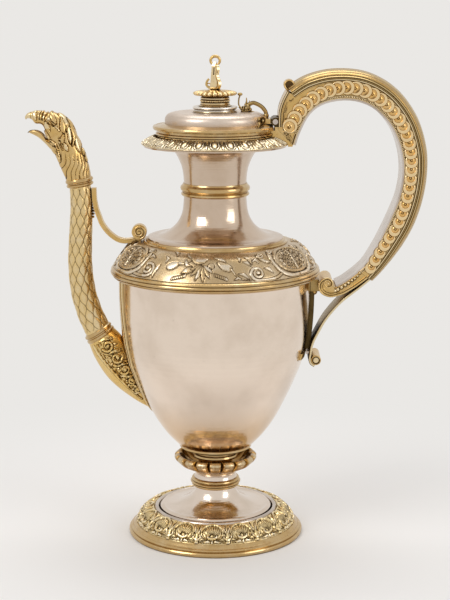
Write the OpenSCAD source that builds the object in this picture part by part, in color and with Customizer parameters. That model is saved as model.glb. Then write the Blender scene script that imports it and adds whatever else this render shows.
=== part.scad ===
// Covered ewer with a beast-headed spout, a looped box handle and a hinged cover.
// The axis of the vessel is Z, the foot stands on Z = 0, the spout points to -X
// and the handle to +X.  Everything is mirrored about the plane Y = 0.

/* [Foot] */
// Radius of the foot where it stands
foot_r = 64.2; // [58:0.2:70]
// Height of the moulded rim of the foot
foot_rim_h = 8; // [7.4:0.1:8.6]
// Rise of the leaf border above the rim
foot_border_rise = 10.8; // [10:0.1:12]
// Radius of the silver dish inside the border
foot_dish_r = 41; // [39.5:0.1:42]
// Height of the top of the foot, where the stem begins
foot_top_z = 34.5; // [33:0.1:36]

/* [Stem] */
// Radius of the reeded ring on the stem
stem_ring_r = 18.6; // [17.6:0.1:20]
// Height of the reeded ring
stem_ring_h = 7; // [6:0.1:8]
// Height of the concave spool
spool_h = 6.6; // [5.5:0.1:8]
// Waist radius of the spool
spool_r = 15.1; // [14.4:0.1:16]
// Radius over the tips of the petals
petal_r = 30.4; // [28:0.1:33]
// Number of petals round the knop
petal_count = 18; // [12:1:24]
// Height of the petals
petal_h = 11; // [10:0.1:12]
// Radius of the collar above the petals
knop_collar_r = 17; // [16:0.1:18.5]
// Radius of the tie rod that holds the stem together
rod_r = 2.5; // [2:0.1:3.2]
// Clearance round the tie rod
rod_gap = 0.5; // [0.2:0.1:1]

/* [Body] */
// Largest radius of the body
body_r = 68.7; // [66:0.1:71]
// Thickness of the raised sheet
wall = 1.2; // [0.8:0.1:1.6]
// Radius of the plate that closes the bottom of the body
body_base_r = 26.4; // [25:0.1:28]
// Height of the bottom of the body
body_base_z = 66.5; // [66:0.1:67.5]
// Height of the top of the body
body_top_z = 192; // [190:0.1:193]

/* [Shoulder and neck] */
// How far the reeded moulding of the shoulder stands out from the body
moulding_out = 7; // [6:0.1:9]
// Height of the reeded moulding
moulding_h = 8; // [7:0.1:9]
// Rise of the chased band
band_rise = 17.5; // [16:0.1:19]
// Radius of the silver cap above the band
cap_r = 48.8; // [46:0.1:51]
// Smallest radius of the neck
neck_r = 22.4; // [21.5:0.1:24]
// Height of the bottom of the neck collar
neck_collar_z = 250.6; // [249:0.1:252]
// Height of the neck collar
neck_collar_h = 9.2; // [8:0.1:10]
// How far the neck collar stands out from the neck
neck_collar_out = 2.6; // [1.5:0.1:3.5]

/* [Mouth] */
// Radius of the tip of the mouth
mouth_r = 52.5; // [51:0.1:55]
// Height of the upper neck above its collar
upper_neck_h = 27.2; // [26:0.1:28.4]
// Outer radius of the collar under the cover
mouth_collar_r = 41.4; // [40.5:0.1:42.5]
// Thickness of the collar under the cover
mouth_collar_wall = 2.4; // [1.6:0.1:3]
// Height of the collar under the cover
mouth_collar_h = 11.2; // [10.6:0.1:12]

/* [Cover] */
// Radius of the edge of the cover
cover_r = 44.4; // [43:0.1:46]
// Radius of the domed top
dome_r = 35.6; // [34:0.1:37]
// Height of the dome above the seat of the cover
dome_h = 12; // [11:0.1:13]
// Depth of the bezel below the seat
bezel_h = 4.7; // [3.5:0.1:5]
// Radial clearance of the bezel in the collar
bezel_gap = 1.2; // [0.9:0.1:1.6]
// Thickness of the bezel
bezel_wall = 1.4; // [1:0.1:2]
// Radius of the plinth under the finial
plinth_r = 16; // [14.5:0.1:17.5]
// Radius of the pearled drum
drum_r = 10.4; // [9:0.1:12]
// Radius of the gadrooned rosette
rosette_r = 15.6; // [14:0.1:15.9]
// Number of gadroons round the rosette
gadroon_count = 24; // [16:1:30]
// Height of the scrolls and the loop of the finial above the rosette
finial_h = 24.6; // [23.8:0.1:26]
// Number of scroll brackets in the finial
finial_scrolls_n = 3; // [3:1:4]
// Radius of the screw under the finial
finial_screw_r = 1.6; // [1.2:0.1:2]

/* [Hinge] */
// Distance of the hinge axis from the axis of the vessel
hinge_x = 42.5; // [42.3:0.1:43]
// Height of the hinge axis above the seat of the cover
hinge_rise = 5.8; // [5.6:0.1:6.2]
// Radius of the hinge knuckles
knuckle_r = 3; // [2.6:0.1:3.1]
// Radius of the hinge pin
pin_r = 1.2; // [0.9:0.05:1.5]
// Running clearance of the pin in the cover's knuckle
pin_gap = 0.05; // [0.02:0.01:0.1]
// Width of the cover's knuckle
knuckle_w = 9.4; // [8:0.1:10]
// Width over all the knuckles
hinge_w = 21; // [20:0.1:22]
// Gap between neighbouring knuckles
knuckle_gap = 0.3; // [0.2:0.05:0.5]

/* [Handle] */
// Width of the handle across its edge mouldings
handle_w = 28.4; // [26:0.1:30]
// Thickness of the cheeks
cheek_t = 1.2; // [0.8:0.1:1.6]
// How far the edge moulding stands proud of the cheek
edge_proud = 0.95; // [0.6:0.05:1.4]
// Height of the crown of the outer strap above its edges
strap_crown = 4.2; // [2.5:0.1:4.8]
// Thickness of the straps
strap_t = 1.3; // [1:0.1:1.8]
// Width of the edge moulding
edge_w = 2; // [1.5:0.1:2.6]
// Relief of the row of overlapping discs
disc_relief = 1.1; // [0.6:0.1:1.4]
// Number of discs on each cheek
disc_count = 34; // [28:1:38]
// Radius of the first disc, at the mouth
disc_r = 5.4; // [4.6:0.1:5.8]
// Radius of the last disc, at the lower end
disc_low_r = 4.2; // [3.6:0.1:4.6]
// Radius of the roll at the top of the handle
top_roll_r = 3.9; // [3:0.1:4.2]
// Width of the roll at the top of the handle
top_roll_w = 10; // [8:0.5:14]
// Radius of the roll at the end of the tail
tail_roll_r = 3.6; // [3:0.1:3.9]
// Thickness of the tail strap
tail_t = 2; // [1.5:0.1:2.6]
// Width of the tail strap
tail_w = 23.2; // [20:0.2:26]
// Width of the clip that ties the tail to the body
clip_w = 44; // [30:1:50]
// Width of the stay strip on the body
stay_w = 8; // [6:0.5:12]

/* [Spout] */
// Outer radius of the tube at its lower end
tube_low_r = 9.4; // [8.8:0.1:9.8]
// Outer radius of the tube at its upper end
tube_top_r = 7.6; // [7.2:0.1:8.2]
// Wall of the spout castings
spout_wall = 2; // [1.6:0.1:2.4]
// Radius of the lower collar of the spout
low_collar_r = 11.2; // [10.6:0.1:12]
// Length of the lower collar
low_collar_h = 6.6; // [5.6:0.1:7]
// Radius of the upper collar of the spout
top_collar_r = 10; // [9.4:0.1:10.6]
// Length of the upper collar
top_collar_h = 6.2; // [5:0.1:6.8]
// Radius of the bore from the body into the spout
inlet_r = 5.5; // [4.5:0.1:6]
// Thickness of the shield-shaped plate under the spout
plate_t = 1; // [0.7:0.1:1.4]
// Width of the scroll stay between the spout and the shoulder
spout_stay_w = 6; // [4:0.5:8]

/* [Hidden] */
// Heights, stacked up from the collar of the neck
mouth_z = neck_collar_z + neck_collar_h + upper_neck_h;
cover_z = mouth_z + mouth_collar_h;
dome_top_z = cover_z + dome_h;
hinge_z = cover_z + hinge_rise;

$fn = 96;
joint_gap = 0.05;
silver = "#d8ccc0";
gilt = "#cfa857";

// ---- curves ---------------------------------------------------------------

// Point on a Catmull-Rom curve between b and c
function cr(a, b, c, d, t) =
    0.5 * (2 * b + (c - a) * t + (2 * a - 5 * b + 4 * c - d) * t * t
           + (3 * b - a - 3 * c + d) * t * t * t);
// Smooth curve through the points p, with n steps to each span
function smooth(p, n = 4) =
    let (last = len(p) - 1)
    [for (i = [0:last - 1], k = [0:n - 1])
        cr(p[max(i - 1, 0)], p[i], p[i + 1], p[min(i + 2, last)], k / n), p[last]];
function unit(v) = v / norm(v);
function tangent(c, i) = unit(c[min(i + 1, len(c) - 1)] - c[max(i - 1, 0)]);
// Left-hand normal of a plane curve
function normal(c, i) = let (t = tangent(c, i)) [-t[1], t[0]];
// Curve moved to its left by d
function shifted(c, d) = [for (i = [0:len(c) - 1]) c[i] + d * normal(c, i)];
function reversed(c) = [for (i = [len(c) - 1:-1:0]) c[i]];
// Closed outline between two curves that run the same way
function between(a, b) = concat(a, reversed(b));
// Outline of a strip that lies from d0 to d1 to the left of a curve
function strip(c, d0, d1) = between(shifted(c, d0), shifted(c, d1));

// Solid of revolution about the vessel's axis
module turned(outline) { rotate_extrude() polygon(outline); }
// Plate in the XZ plane from y0 to y1
module plate(outline, y0, y1) {
    translate([0, y1, 0]) rotate([90, 0, 0]) linear_extrude(y1 - y0) polygon(outline);
}
// Round bar along Y
module bar(x, z, r, y0, y1) { translate([x, y1, z]) rotate([90, 0, 0]) cylinder(r = r, h = y1 - y0); }
// Moves a shape from the Z axis to a point in the XZ plane, along a direction there
module along(p, dir) { translate([p[0], 0, p[1]]) rotate([0, atan2(dir[0], dir[1]), 0]) children(); }

// Closed skin over rings of points that all have the same even count.  The first half of a
// ring faces its second half, so the end caps are ladders of triangles between the halves.
module skin(rings) {
    m = len(rings[0]);
    n = len(rings);
    e = (n - 1) * m;
    polyhedron(
        points = [for (r = rings) each r],
        faces = [
            for (i = [0:m / 2 - 2]) each [[i + 1, i, m - 2 - i], [m - 2 - i, i, m - 1 - i]],
            for (j = [0:n - 2], i = [0:m - 1]) let (a = j * m + i, b = j * m + (i + 1) % m)
                each [[a, b, a + m], [b, b + m, a + m]],
            for (i = [0:m / 2 - 2])
                each [[e + i, e + i + 1, e + m - 2 - i], [e + i, e + m - 2 - i, e + m - 1 - i]]]);
}
// Hollow skin: an outer and an inner row of rings, joined by flat ends
module pipe(outer, inner) {
    m = len(outer[0]);
    n = len(outer);
    k = n * m;
    polyhedron(
        points = [for (r = concat(outer, inner)) each r],
        faces = [
            for (j = [0:n - 2], i = [0:m - 1]) let (a = j * m + i, b = j * m + (i + 1) % m)
                each [[a, b, a + m], [b, b + m, a + m], [b + k, a + k, a + m + k],
                    [b + k, a + m + k, b + m + k]],
            for (i = [0:m - 1]) let (b = (i + 1) % m, e = (n - 1) * m)
                each [[b, i, i + k], [b, i + k, b + k], [e + i, e + b, e + i + k],
                    [e + b, e + b + k, e + i + k]]]);
}
// Oval ring round a station [x, z, half depth, half width] of a curve in the XZ plane
function oval(c, i, grow = 0, m = 24) =
    let (d = [for (p = c) [p[0], p[1]]], n = normal(d, i))
    [for (k = [0:m - 1]) let (a = 360 * k / m, u = (c[i][2] + grow) * cos(a), v = (c[i][3] + grow) * sin(a))
        [c[i][0] + u * n[0], v, c[i][1] + u * n[1]]];
function ovals(c, grow = 0, m = 24) = [for (i = [0:len(c) - 1]) oval(c, i, grow, m)];

// ---- foot -----------------------------------------------------------------

border_z = foot_rim_h + foot_border_rise;
foot_rim_top_r = foot_r - 5.4;
border_in_r = foot_dish_r + 4.4;
foot_border_curve = smooth([[foot_rim_top_r - 0.6, foot_rim_h], [foot_r - 7.4, foot_rim_h + 3.4],
    [foot_r - 11.8, border_z - 2.5], [border_in_r + 1.6, border_z], [border_in_r, border_z - 0.6]]);

border_t = 1.3;

module foot_rim() {
    color(gilt) turned([[foot_r - 2.4, 0], [foot_r - 0.6, 0], [foot_r, 1], [foot_r, 2.4], [foot_r - 0.5, 3.2],
        [foot_r - 1.6, 3.5], [foot_r - 1.4, 4.4], [foot_r - 2.3, 5.1], [foot_r - 3.2, 5.4],
        [foot_r - 3.4, 6.2], [foot_r - 4.4, 7.2], [foot_rim_top_r, foot_rim_h],
        [foot_rim_top_r - 3.4, foot_rim_h], [foot_r - 5.4, 4.6]]);
}
module foot_border() {
    color(gilt) turned(between(foot_border_curve, [for (p = foot_border_curve)
        [max(p[0] - border_t, border_in_r), max(p[1] - border_t - 0.2, foot_rim_h)]]));
}
module foot_bead() {
    bead_r = 1.7;
    color(silver) rotate_extrude() difference() {
        translate([border_in_r - bead_r - 0.1, border_z - bead_r + 0.9]) circle(bead_r);
        polygon([[0, 0], [foot_dish_r, 0], [foot_dish_r, foot_top_z], [0, foot_top_z]]);
    }
}
dish_curve = smooth([[foot_dish_r - joint_gap, border_z + 0.6], [foot_dish_r - 2, border_z + 2],
    [foot_dish_r - 5.5, border_z + 1.6], [27, border_z + 3.1], [20, border_z + 6.6], [16, foot_top_z - 4.6],
    [14.5, foot_top_z]]);
dish_edge_z = border_z - 2.6;
module foot_dish() {
    color(silver) difference() {
        turned(concat([[foot_dish_r - joint_gap, dish_edge_z]], dish_curve, [[0, foot_top_z],
            [0, foot_top_z - wall]],
            [for (p = reversed(dish_curve)) p - [0.75 * wall, wall]], [[foot_dish_r - wall, dish_edge_z]]));
        cylinder(r = rod_r + rod_gap, h = 2 * foot_top_z);
    }
}

// ---- stem -----------------------------------------------------------------

ring_z = foot_top_z;
spool_z = ring_z + stem_ring_h;
petal_z = spool_z + spool_h;
collar_z = petal_z + 1.4;
socket_z = petal_z + petal_h + 0.6;
nut_h = 4;
washer_t = 1.2;
nut_top_z = foot_top_z - wall - washer_t;

module stem_washer() {
    color(silver) translate([0, 0, nut_top_z]) difference() {
        cylinder(r = 8, h = washer_t);
        translate([0, 0, -1]) cylinder(r = rod_r + rod_gap, h = washer_t + 2);
    }
}
module stem_nut() {
    color(silver) translate([0, 0, nut_top_z - nut_h]) difference() {
        cylinder(r = 5.6, h = nut_h, $fn = 6);
        translate([0, 0, -1]) cylinder(r = rod_r + joint_gap, h = nut_h + 2);
    }
}
module stem_rod() {
    low = nut_top_z - nut_h - 1.5;
    color(silver) translate([0, 0, low]) cylinder(r = rod_r, h = body_base_z - low);
}
// Outline of a reeded moulding: beads of one size, stacked on a vertical line
function reeds(r, z, pitch, n, depth) =
    [for (k = [0:n - 1], a = [-75:30:75]) [r - depth + depth * cos(a),
        z + pitch * (k + 0.5) + pitch / 2 * sin(a)]];
module stem_ring() {
    bore = spool_r - 2.6;
    reed_h = stem_ring_h / 3;
    color(gilt) turned(concat([[bore, ring_z], [stem_ring_r - 4.2, ring_z]],
        [for (p = reeds(stem_ring_r, ring_z, reed_h, 3,
            1.2)) p - [abs(p[1] - ring_z - stem_ring_h / 2) * 0.45, 0]],
        [[stem_ring_r - 3.4, ring_z + stem_ring_h], [bore, ring_z + stem_ring_h]]));
}
spool_curve = smooth([[spool_r + 0.7, spool_z], [spool_r, spool_z + spool_h * 0.35],
    [spool_r + 0.7, spool_z + spool_h * 0.7], [spool_r + 2.4, petal_z]]);
module stem_spool() {
    color(silver) turned(between(spool_curve, [for (p = spool_curve) p - [wall + 0.4, 0]]));
}
petal_curve = smooth([[spool_r + 1.2, petal_z], [petal_r * 0.8, petal_z + 2.3], [petal_r - 1.6, petal_z + 6],
    [petal_r, petal_z + 8.4], [petal_r - 0.4, petal_z + petal_h - 1.2], [petal_r - 2, petal_z + petal_h]]);
petal_floor = smooth([[spool_r - 3, petal_z + 1.4], [petal_r * 0.62, petal_z + 3.6],
    [petal_r - 7, petal_z + 7.4],
    [petal_r - 4, petal_z + petal_h - 0.6], [petal_r - 2.4, petal_z + petal_h]]);
module knop_petals() {
    groove_r = 1.1;
    color(gilt) difference() {
        turned(concat([[spool_r - 3, petal_z]], petal_curve, reversed(petal_floor)));
        for (k = [0:petal_count - 1]) rotate(360 * (k + 0.5) / petal_count)
            translate([petal_r + 0.3, 0, petal_z]) cylinder(r = groove_r, h = 2 * petal_h, $fn = 24);
    }
}
module knop_collar() {
    bore = spool_r - 4.4;
    color(gilt) turned([[bore, collar_z + joint_gap], [spool_r - 3.2, collar_z + joint_gap],
        [knop_collar_r - 4, collar_z + 5], [knop_collar_r - 2.2, socket_z - 3.4],
        [knop_collar_r - 0.4, socket_z - 2.8], [knop_collar_r, socket_z - 1.6],
            [knop_collar_r - 0.4, socket_z - 0.4],
        [knop_collar_r - 1, socket_z], [bore, socket_z]]);
}
module body_socket() {
    bore = spool_r - 4.4;
    flange_t = 2;
    color(gilt) turned([[bore, socket_z], [knop_collar_r - 2.4, socket_z],
        [knop_collar_r - 2.6, socket_z + 1.4],
        [knop_collar_r + 0.4, socket_z + 2], [knop_collar_r + 1, socket_z + 2.8],
            [knop_collar_r, socket_z + 3.6],
        [knop_collar_r + 1.4, body_base_z - flange_t - 0.2], [body_base_r - 0.6, body_base_z - flange_t],
        [body_base_r, body_base_z - flange_t + 0.7], [body_base_r, body_base_z], [bore, body_base_z]]);
}

// ---- body -----------------------------------------------------------------

// Radii as shares of the largest one, and heights above the bottom plate on a body of drawn_h
drawn_h = 125.5;
body_shares = [[0.517, 9.5], [0.635, 21], [0.742, 35], [0.836, 49.1], [0.918, 63.5], [0.968, 79.5],
    [0.992, 96.5], [1, 113.5]];
body_curve = smooth(concat([[body_base_r, body_base_z]],
    [for (p = body_shares) [p[0] * body_r, body_base_z + p[1] * (body_top_z - body_base_z) / drawn_h]],
    [[body_r, body_top_z]]), 4);
// Outline of everything inside the body's outer surface, grown by g
function body_outline(g) = concat([[0, body_base_z - g]], [for (p = body_curve) p + [g, 0]],
    [[0, body_top_z]]);
inlet_z = 132;
inlet_tilt = 20;
// Bore through the wall into the spout
module inlet() {
    translate([-0.93 * body_r, 0, inlet_z]) rotate([0, 90 + inlet_tilt, 0])
        cylinder(r = inlet_r, h = 30, center = true);
}
module body_shell() {
    inside = [for (p = body_curve) [max(p[0] - wall, 1), max(p[1], body_base_z + wall)]];
    color(silver) difference() {
        turned(concat([[0, body_base_z]], body_curve, reversed(inside), [[0, body_base_z + wall]]));
        inlet();
    }
}

// ---- shoulder and neck ----------------------------------------------------

moulding_r = body_r + moulding_out;
band_z = body_top_z + moulding_h;
band_in_r = cap_r + 3.2;
cap_z = band_z + band_rise + 2.6;
module shoulder_moulding() {
    in_r = body_r - wall - 0.6;
    mid = body_top_z + moulding_h / 2;
    color(gilt) turned(concat([[in_r, body_top_z], [body_r + 1.4, body_top_z]],
        [for (p = reeds(moulding_r, body_top_z, moulding_h / 3, 3, 1.3))
            p - [pow(abs(p[1] - mid - 0.6) / moulding_h * 2, 2) * 2.6, 0]],
        [[moulding_r - 2.2, band_z], [in_r, band_z]]));
}
band_curve = smooth([[moulding_r - 2.4, band_z], [moulding_r - 5.4, band_z + 0.27 * band_rise],
    [moulding_r - 11.7, band_z + 0.73 * band_rise], [band_in_r + 6, band_z + 0.94 * band_rise],
    [band_in_r, band_z + band_rise]]);
module shoulder_band() {
    color(gilt) turned(concat(band_curve, [[band_in_r, band_z + band_rise - wall]],
        [for (p = reversed(band_curve)) [max(p[0] - 1.2 * wall, band_in_r),
            max(p[1] - 0.9 * wall, band_z)]]));
}
module shoulder_fillet() {
    top = band_z + band_rise;
    color(gilt) turned([[cap_r - 3, top - wall], [band_in_r, top - wall], [band_in_r, top + 0.6],
        [band_in_r - 0.8, top + 1.5], [cap_r + 1.2, top + 1.4], [cap_r + 0.8, cap_z - 0.3], [cap_r, cap_z],
        [cap_r - 3, cap_z]]);
}
neck_low_curve = smooth([[cap_r, cap_z + 1], [cap_r - 3, cap_z + 1.7], [40, cap_z + 2.2], [34, cap_z + 5],
    [28.6, cap_z + 9.4], [neck_r + 2.6, cap_z + 15], [neck_r + 0.8, cap_z + 21], [neck_r, neck_collar_z]], 4);
module neck_lower() {
    color(silver) turned(concat([[cap_r - 5, cap_z], [cap_r, cap_z]], neck_low_curve,
        [for (i = [len(neck_low_curve) - 1:-1:0]) let (p = neck_low_curve[i])
            if (p[0] < cap_r - 5) [p[0] - wall, min(p[1],
                neck_collar_z) - (p[1] > neck_collar_z - 1 ? 0 : wall)]]));
}
module neck_collar() {
    z = neck_collar_z;
    h = neck_collar_h;
    out = neck_r + neck_collar_out;
    in_r = neck_r - wall;
    color(gilt) turned([[in_r, z], [neck_r + 0.5, z], [out - 1.2, z + 0.3], [out - 0.5, z + 1.2],
        [out - 0.7, z + 2.2], [out - 1.6, z + 2.8], [out - 1.2, z + 3.6], [out - 0.3, z + 4.4],
            [out, z + 5.6], [out - 0.2, z + 6.8],
        [out - 1, z + 7.6], [out - 1.7, z + h - 0.9], [neck_r + 0.5, z + h], [in_r, z + h]]);
}
flare_z = neck_collar_z + neck_collar_h;
neck_up_curve = smooth([[neck_r, flare_z], [neck_r + 0.5, flare_z + 6.5], [neck_r + 1.8, flare_z + 12.5],
    [neck_r + 4.9, flare_z + 19.5], [neck_r + 8.6, mouth_z - 3.4], [mouth_r - 14, mouth_z - 1.8],
    [mouth_r - 1.6, mouth_z - 1]], 4);
module neck_upper() {
    color(silver) turned(concat(neck_up_curve, [[mouth_r - 1.6, mouth_z]],
        [for (p = reversed(neck_up_curve)) [max(p[0] - 1.3, neck_r - wall),
            p[1] < mouth_z - 3.6 ? p[1] : mouth_z]]));
}
module mouth_border() {
    border_h = 6;
    in_r = mouth_collar_r + 0.3;
    color(gilt) turned(concat([[in_r, mouth_z], [mouth_r - 1.8, mouth_z]],
        smooth([[mouth_r - 0.4, mouth_z + 0.3], [mouth_r, mouth_z + 1.1], [mouth_r - 2.6, mouth_z + 2.9],
            [mouth_r - 6, mouth_z + 4.7], [in_r + 1.8, mouth_z + border_h]], 3),
        [[in_r, mouth_z + border_h]]));
}
mouth_in_r = mouth_collar_r - mouth_collar_wall;
module mouth_collar() {
    color(gilt) turned([[mouth_in_r, mouth_z], [mouth_collar_r, mouth_z], [mouth_collar_r, cover_z - 4.2],
        [mouth_collar_r + 0.9, cover_z - 3.4], [mouth_collar_r + 0.9, cover_z - 2.4],
        [mouth_collar_r - 0.4, cover_z - 1.8], [mouth_collar_r - 0.4, cover_z], [mouth_in_r, cover_z]]);
}

// ---- cover ----------------------------------------------------------------

edge_top_z = cover_z + 4.2;
hinge_flat_x = hinge_x - 1.5;
module cover_edge() {
    color(gilt) difference() {
        turned([[dome_r - wall, cover_z], [cover_r - 0.5, cover_z], [cover_r - 0.1, cover_z + 0.8],
            [cover_r, cover_z + 1.6], [cover_r - 0.5, cover_z + 2.5], [cover_r - 2, cover_z + 2.9],
            [cover_r - 2.4, cover_z + 2.6], [dome_r + 0.6, edge_top_z], [dome_r - wall, edge_top_z]]);
        translate([hinge_flat_x, -cover_r, cover_z - 1]) cube([cover_r, 2 * cover_r, 10]);
    }
}
bezel_out_r = mouth_in_r - bezel_gap;
module cover_bezel() {
    color(silver) turned([[bezel_out_r - bezel_wall, cover_z - bezel_h],
        [bezel_out_r - 0.3, cover_z - bezel_h],
        [bezel_out_r, cover_z - bezel_h + 0.5], [bezel_out_r, cover_z], [bezel_out_r - bezel_wall, cover_z]]);
}
dome_curve = smooth([[dome_r, edge_top_z], [dome_r + 0.1, edge_top_z + 2.6], [dome_r - 0.5, edge_top_z + 4.6],
    [dome_r - 2.2, edge_top_z + 6.4], [dome_r - 5.4, dome_top_z - 0.25], [dome_r - 9, dome_top_z]], 4);
top_t = 1.2;
module cover_dome() {
    color(silver) difference() {
        turned(concat(dome_curve, [[0, dome_top_z], [0, dome_top_z - top_t]],
            [for (p = reversed(dome_curve)) [p[0] - wall, p[1] - (p[1] > edge_top_z + 2 ? wall * 0.9 : 0)]]));
        cylinder(r = finial_screw_r + 0.2, h = finial_top_z);
    }
}
plinth_h = 4.2;
drum_h = 7.2;
plinth_z = dome_top_z;
drum_z = plinth_z + plinth_h;
rosette_z = drum_z + drum_h;
rosette_h = 4.2;
scroll_z = rosette_z + rosette_h;
finial_top_z = scroll_z + finial_h;
module bored_turning(outline) {
    difference() {
        turned(outline);
        cylinder(r = finial_screw_r + 0.2, h = finial_top_z);
    }
}
module cover_plinth() {
    z = plinth_z;
    color(gilt) bored_turning([[0, z], [plinth_r - 1.1, z], [plinth_r - 1, z + 0.8],
        [plinth_r - 2.6, z + 1.4],
        [plinth_r - 2.4, z + 2.2], [plinth_r - 0.4, z + 2.8], [plinth_r, z + 3.4],
            [plinth_r - 0.5, z + plinth_h],
        [0, z + plinth_h]]);
}
module finial_drum() {
    z = drum_z;
    r = drum_r;
    color(gilt) bored_turning([[0, z], [r + 0.6, z], [r + 0.6, z + 0.9], [r - 0.8, z + 1.4],
        [r - 0.8, z + 2.4],
        [r, z + 3], [r + 0.1, z + 4], [r - 0.8, z + 4.8], [r - 1, z + 5.8], [r + 0.8, z + 6.4],
            [r + 1, z + drum_h],
        [0, z + drum_h]]);
}
module finial_rosette() {
    z = rosette_z;
    r = rosette_r;
    groove_r = 0.7;
    color(gilt) difference() {
        bored_turning(concat([[0, z], [drum_r + 1, z]],
            smooth([[r - 2.6, z + 0.3], [r - 0.5, z + 1.1], [r, z + 2], [r - 1.2, z + 3], [r - 5, z + 3.7],
                [5, z + rosette_h]], 3), [[0, z + rosette_h]]));
        for (k = [0:gadroon_count - 1]) rotate(360 * (k + 0.5) / gadroon_count)
            translate([r + 0.2, 0, z - 1]) cylinder(r = groove_r, h = 8, $fn = 16);
    }
}
loop_r = 3.2;
loop_wire = 1.1;
loop_z = finial_top_z - loop_r - loop_wire;
scroll_line = smooth([[0.8, scroll_z + 1], [4, scroll_z + 1.3], [6.4, scroll_z + 3.4], [5.6, scroll_z + 6.2],
    [3.4, scroll_z + 8.4], [3.2, scroll_z + 11], [4.3, scroll_z + 14], [3.6, loop_z - 4.2],
        [1.2, loop_z - 2.6]]);
module finial_scrolls() {
    color(gilt) {
        translate([0, 0, scroll_z]) cylinder(r = 3.8, h = 1.6);
        for (k = [0:finial_scrolls_n - 1]) rotate(180 + 360 * k / finial_scrolls_n)
            plate(strip(scroll_line, -0.9, 0.9), -1.3, 1.3);
        translate([0, 0, loop_z - 5]) cylinder(r = 1.9, h = 2.6);
        translate([0, 0, loop_z]) rotate([90, 0, 0]) rotate_extrude() translate([loop_r,
            0]) circle(loop_wire);
    }
}
module finial_screw() {
    low = dome_top_z - 6.4;
    color(silver) translate([0, 0, low]) cylinder(r = finial_screw_r, h = scroll_z - low);
}
module finial_nut() {
    nut_t = 2.6;
    color(silver) translate([0, 0, dome_top_z - top_t - nut_t]) difference() {
        cylinder(r = 4.4, h = nut_t, $fn = 6);
        translate([0, 0, -1]) cylinder(r = finial_screw_r + joint_gap, h = nut_t + 2);
    }
}

// ---- hinge ----------------------------------------------------------------

strap_half_w = 19;
strap_h = 5.4;
strap_out_r = dome_r + 1.2;
block_h = 3.4;
knuckle_root_x = hinge_x - knuckle_r - 0.4;
// Plate that wraps the back of the dome, with the block that carries the knuckle
module cover_hinge_strap() {
    block_half_w = 9;
    in_r = dome_r + 0.2;
    color(gilt) intersection() {
        turned([[in_r, edge_top_z], [strap_out_r, edge_top_z], [strap_out_r, edge_top_z + strap_h - 1.6],
            [strap_out_r - 0.6, edge_top_z + strap_h], [in_r, edge_top_z + strap_h]]);
        translate([0, -strap_half_w, cover_z]) cube([cover_r, 2 * strap_half_w, 30]);
    }
    color(gilt) difference() {
        translate([0, -block_half_w, edge_top_z]) cube([knuckle_root_x, 2 * block_half_w, block_h]);
        translate([0, 0, cover_z]) cylinder(r = (in_r + strap_out_r) / 2, h = 20);
    }
}
module cover_knuckle() {
    color(gilt) difference() {
        union() {
            bar(hinge_x, hinge_z, knuckle_r, -knuckle_w / 2, knuckle_w / 2);
            translate([knuckle_root_x + joint_gap, -knuckle_w / 2, edge_top_z])
                cube([knuckle_r, knuckle_w, hinge_z + 1.8 - edge_top_z]);
        }
        bar(hinge_x, hinge_z, pin_r + pin_gap, -hinge_w, hinge_w);
    }
}
module hinge_pin() {
    head_r = pin_r + 0.7;
    color(silver) {
        bar(hinge_x, hinge_z, pin_r, -hinge_w / 2, hinge_w / 2);
        for (s = [-1, 1]) bar(hinge_x, hinge_z, head_r, s * (hinge_w / 2 + 0.3) - 0.3,
            s * (hinge_w / 2 + 0.3) + 0.3);
    }
}
module hinge_knuckles() {
    inner = knuckle_w / 2 + knuckle_gap;
    outer = hinge_w / 2;
    root_x = plate_x(hinge_z) + strap_t;
    color(gilt) for (s = [0, 1]) mirror([0, s, 0]) difference() {
        union() {
            bar(hinge_x, hinge_z, knuckle_r, inner, outer);
            translate([hinge_x, inner, hinge_z - knuckle_r])
                cube([root_x - hinge_x, outer - inner, 2 * knuckle_r]);
        }
        bar(hinge_x, hinge_z, pin_r + joint_gap, -hinge_w, hinge_w);
    }
}
// Beast with a curled tail, lying on the back of the cover as the thumbpiece
module thumbpiece() {
    t = 1.5;
    neck_t = 2.1;
    foot_z = edge_top_z + block_h + joint_gap;
    z = dome_top_z;
    tail = smooth([[23, z + 5.3], [27.6, z + 6.4], [32.6, z + 4], [35.8, z + 0.4], [36.8, foot_z + 2.7]]);
    neck = smooth([[25.5, z + 3.3], [22.5, z + 3], [19, z + 2.25], [17, z + 3]]);
    tongue = smooth([[17.6, z + 2.8], [16.7, z + 6], [16.9, z + 9.3], [17.8, z + 11.8]]);
    color(gilt) {
        plate(strip(tail, -1.5, 1.5), -t, t);
        plate(strip(neck, -neck_t, neck_t), -2.4, 2.4);
        plate(strip(tongue, -0.5, 0.5), -0.5, 0.5);
        translate([17.9, 0, z + 12.4]) sphere(1.2, $fn = 32);
        plate([[21, z + 4.8], [23.4, z + 4.8], [22.3, z + 10.4]], -0.8, 0.8);
        translate([18, -1.2, z]) cube([6.5, 2.4, 3]);
        intersection() {
            plate([[34, foot_z], [38.4, foot_z], [38.4, foot_z + 2.6], [37, foot_z + 3.6],
                [34, foot_z + 3.6]],
                -t, t);
            difference() {
                translate([0, 0, cover_z]) cylinder(r = cover_r, h = 20);
                translate([0, 0, cover_z]) cylinder(r = strap_out_r + joint_gap, h = 20);
            }
        }
    }
}

// ---- handle ---------------------------------------------------------------

// Radius and height of the top of the body and of the mouth that the handle's points are drawn for
drawn_body = [68.7, 192];
drawn_mouth = [52.5, 287];
// Height from which a point goes with the mouth alone
mouth_part_z = 298;
// Points of the handle, carried along when the body or the mouth changes
function hung(p) =
    let (s = lookup(p[1], [[drawn_body[1], 0], [mouth_part_z, 1]]))
    p + (1 - s) * ([body_r, body_top_z] - drawn_body) + s * ([mouth_r, mouth_z] - drawn_mouth);
function hung_all(c) = [for (p = c) hung(p)];

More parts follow.
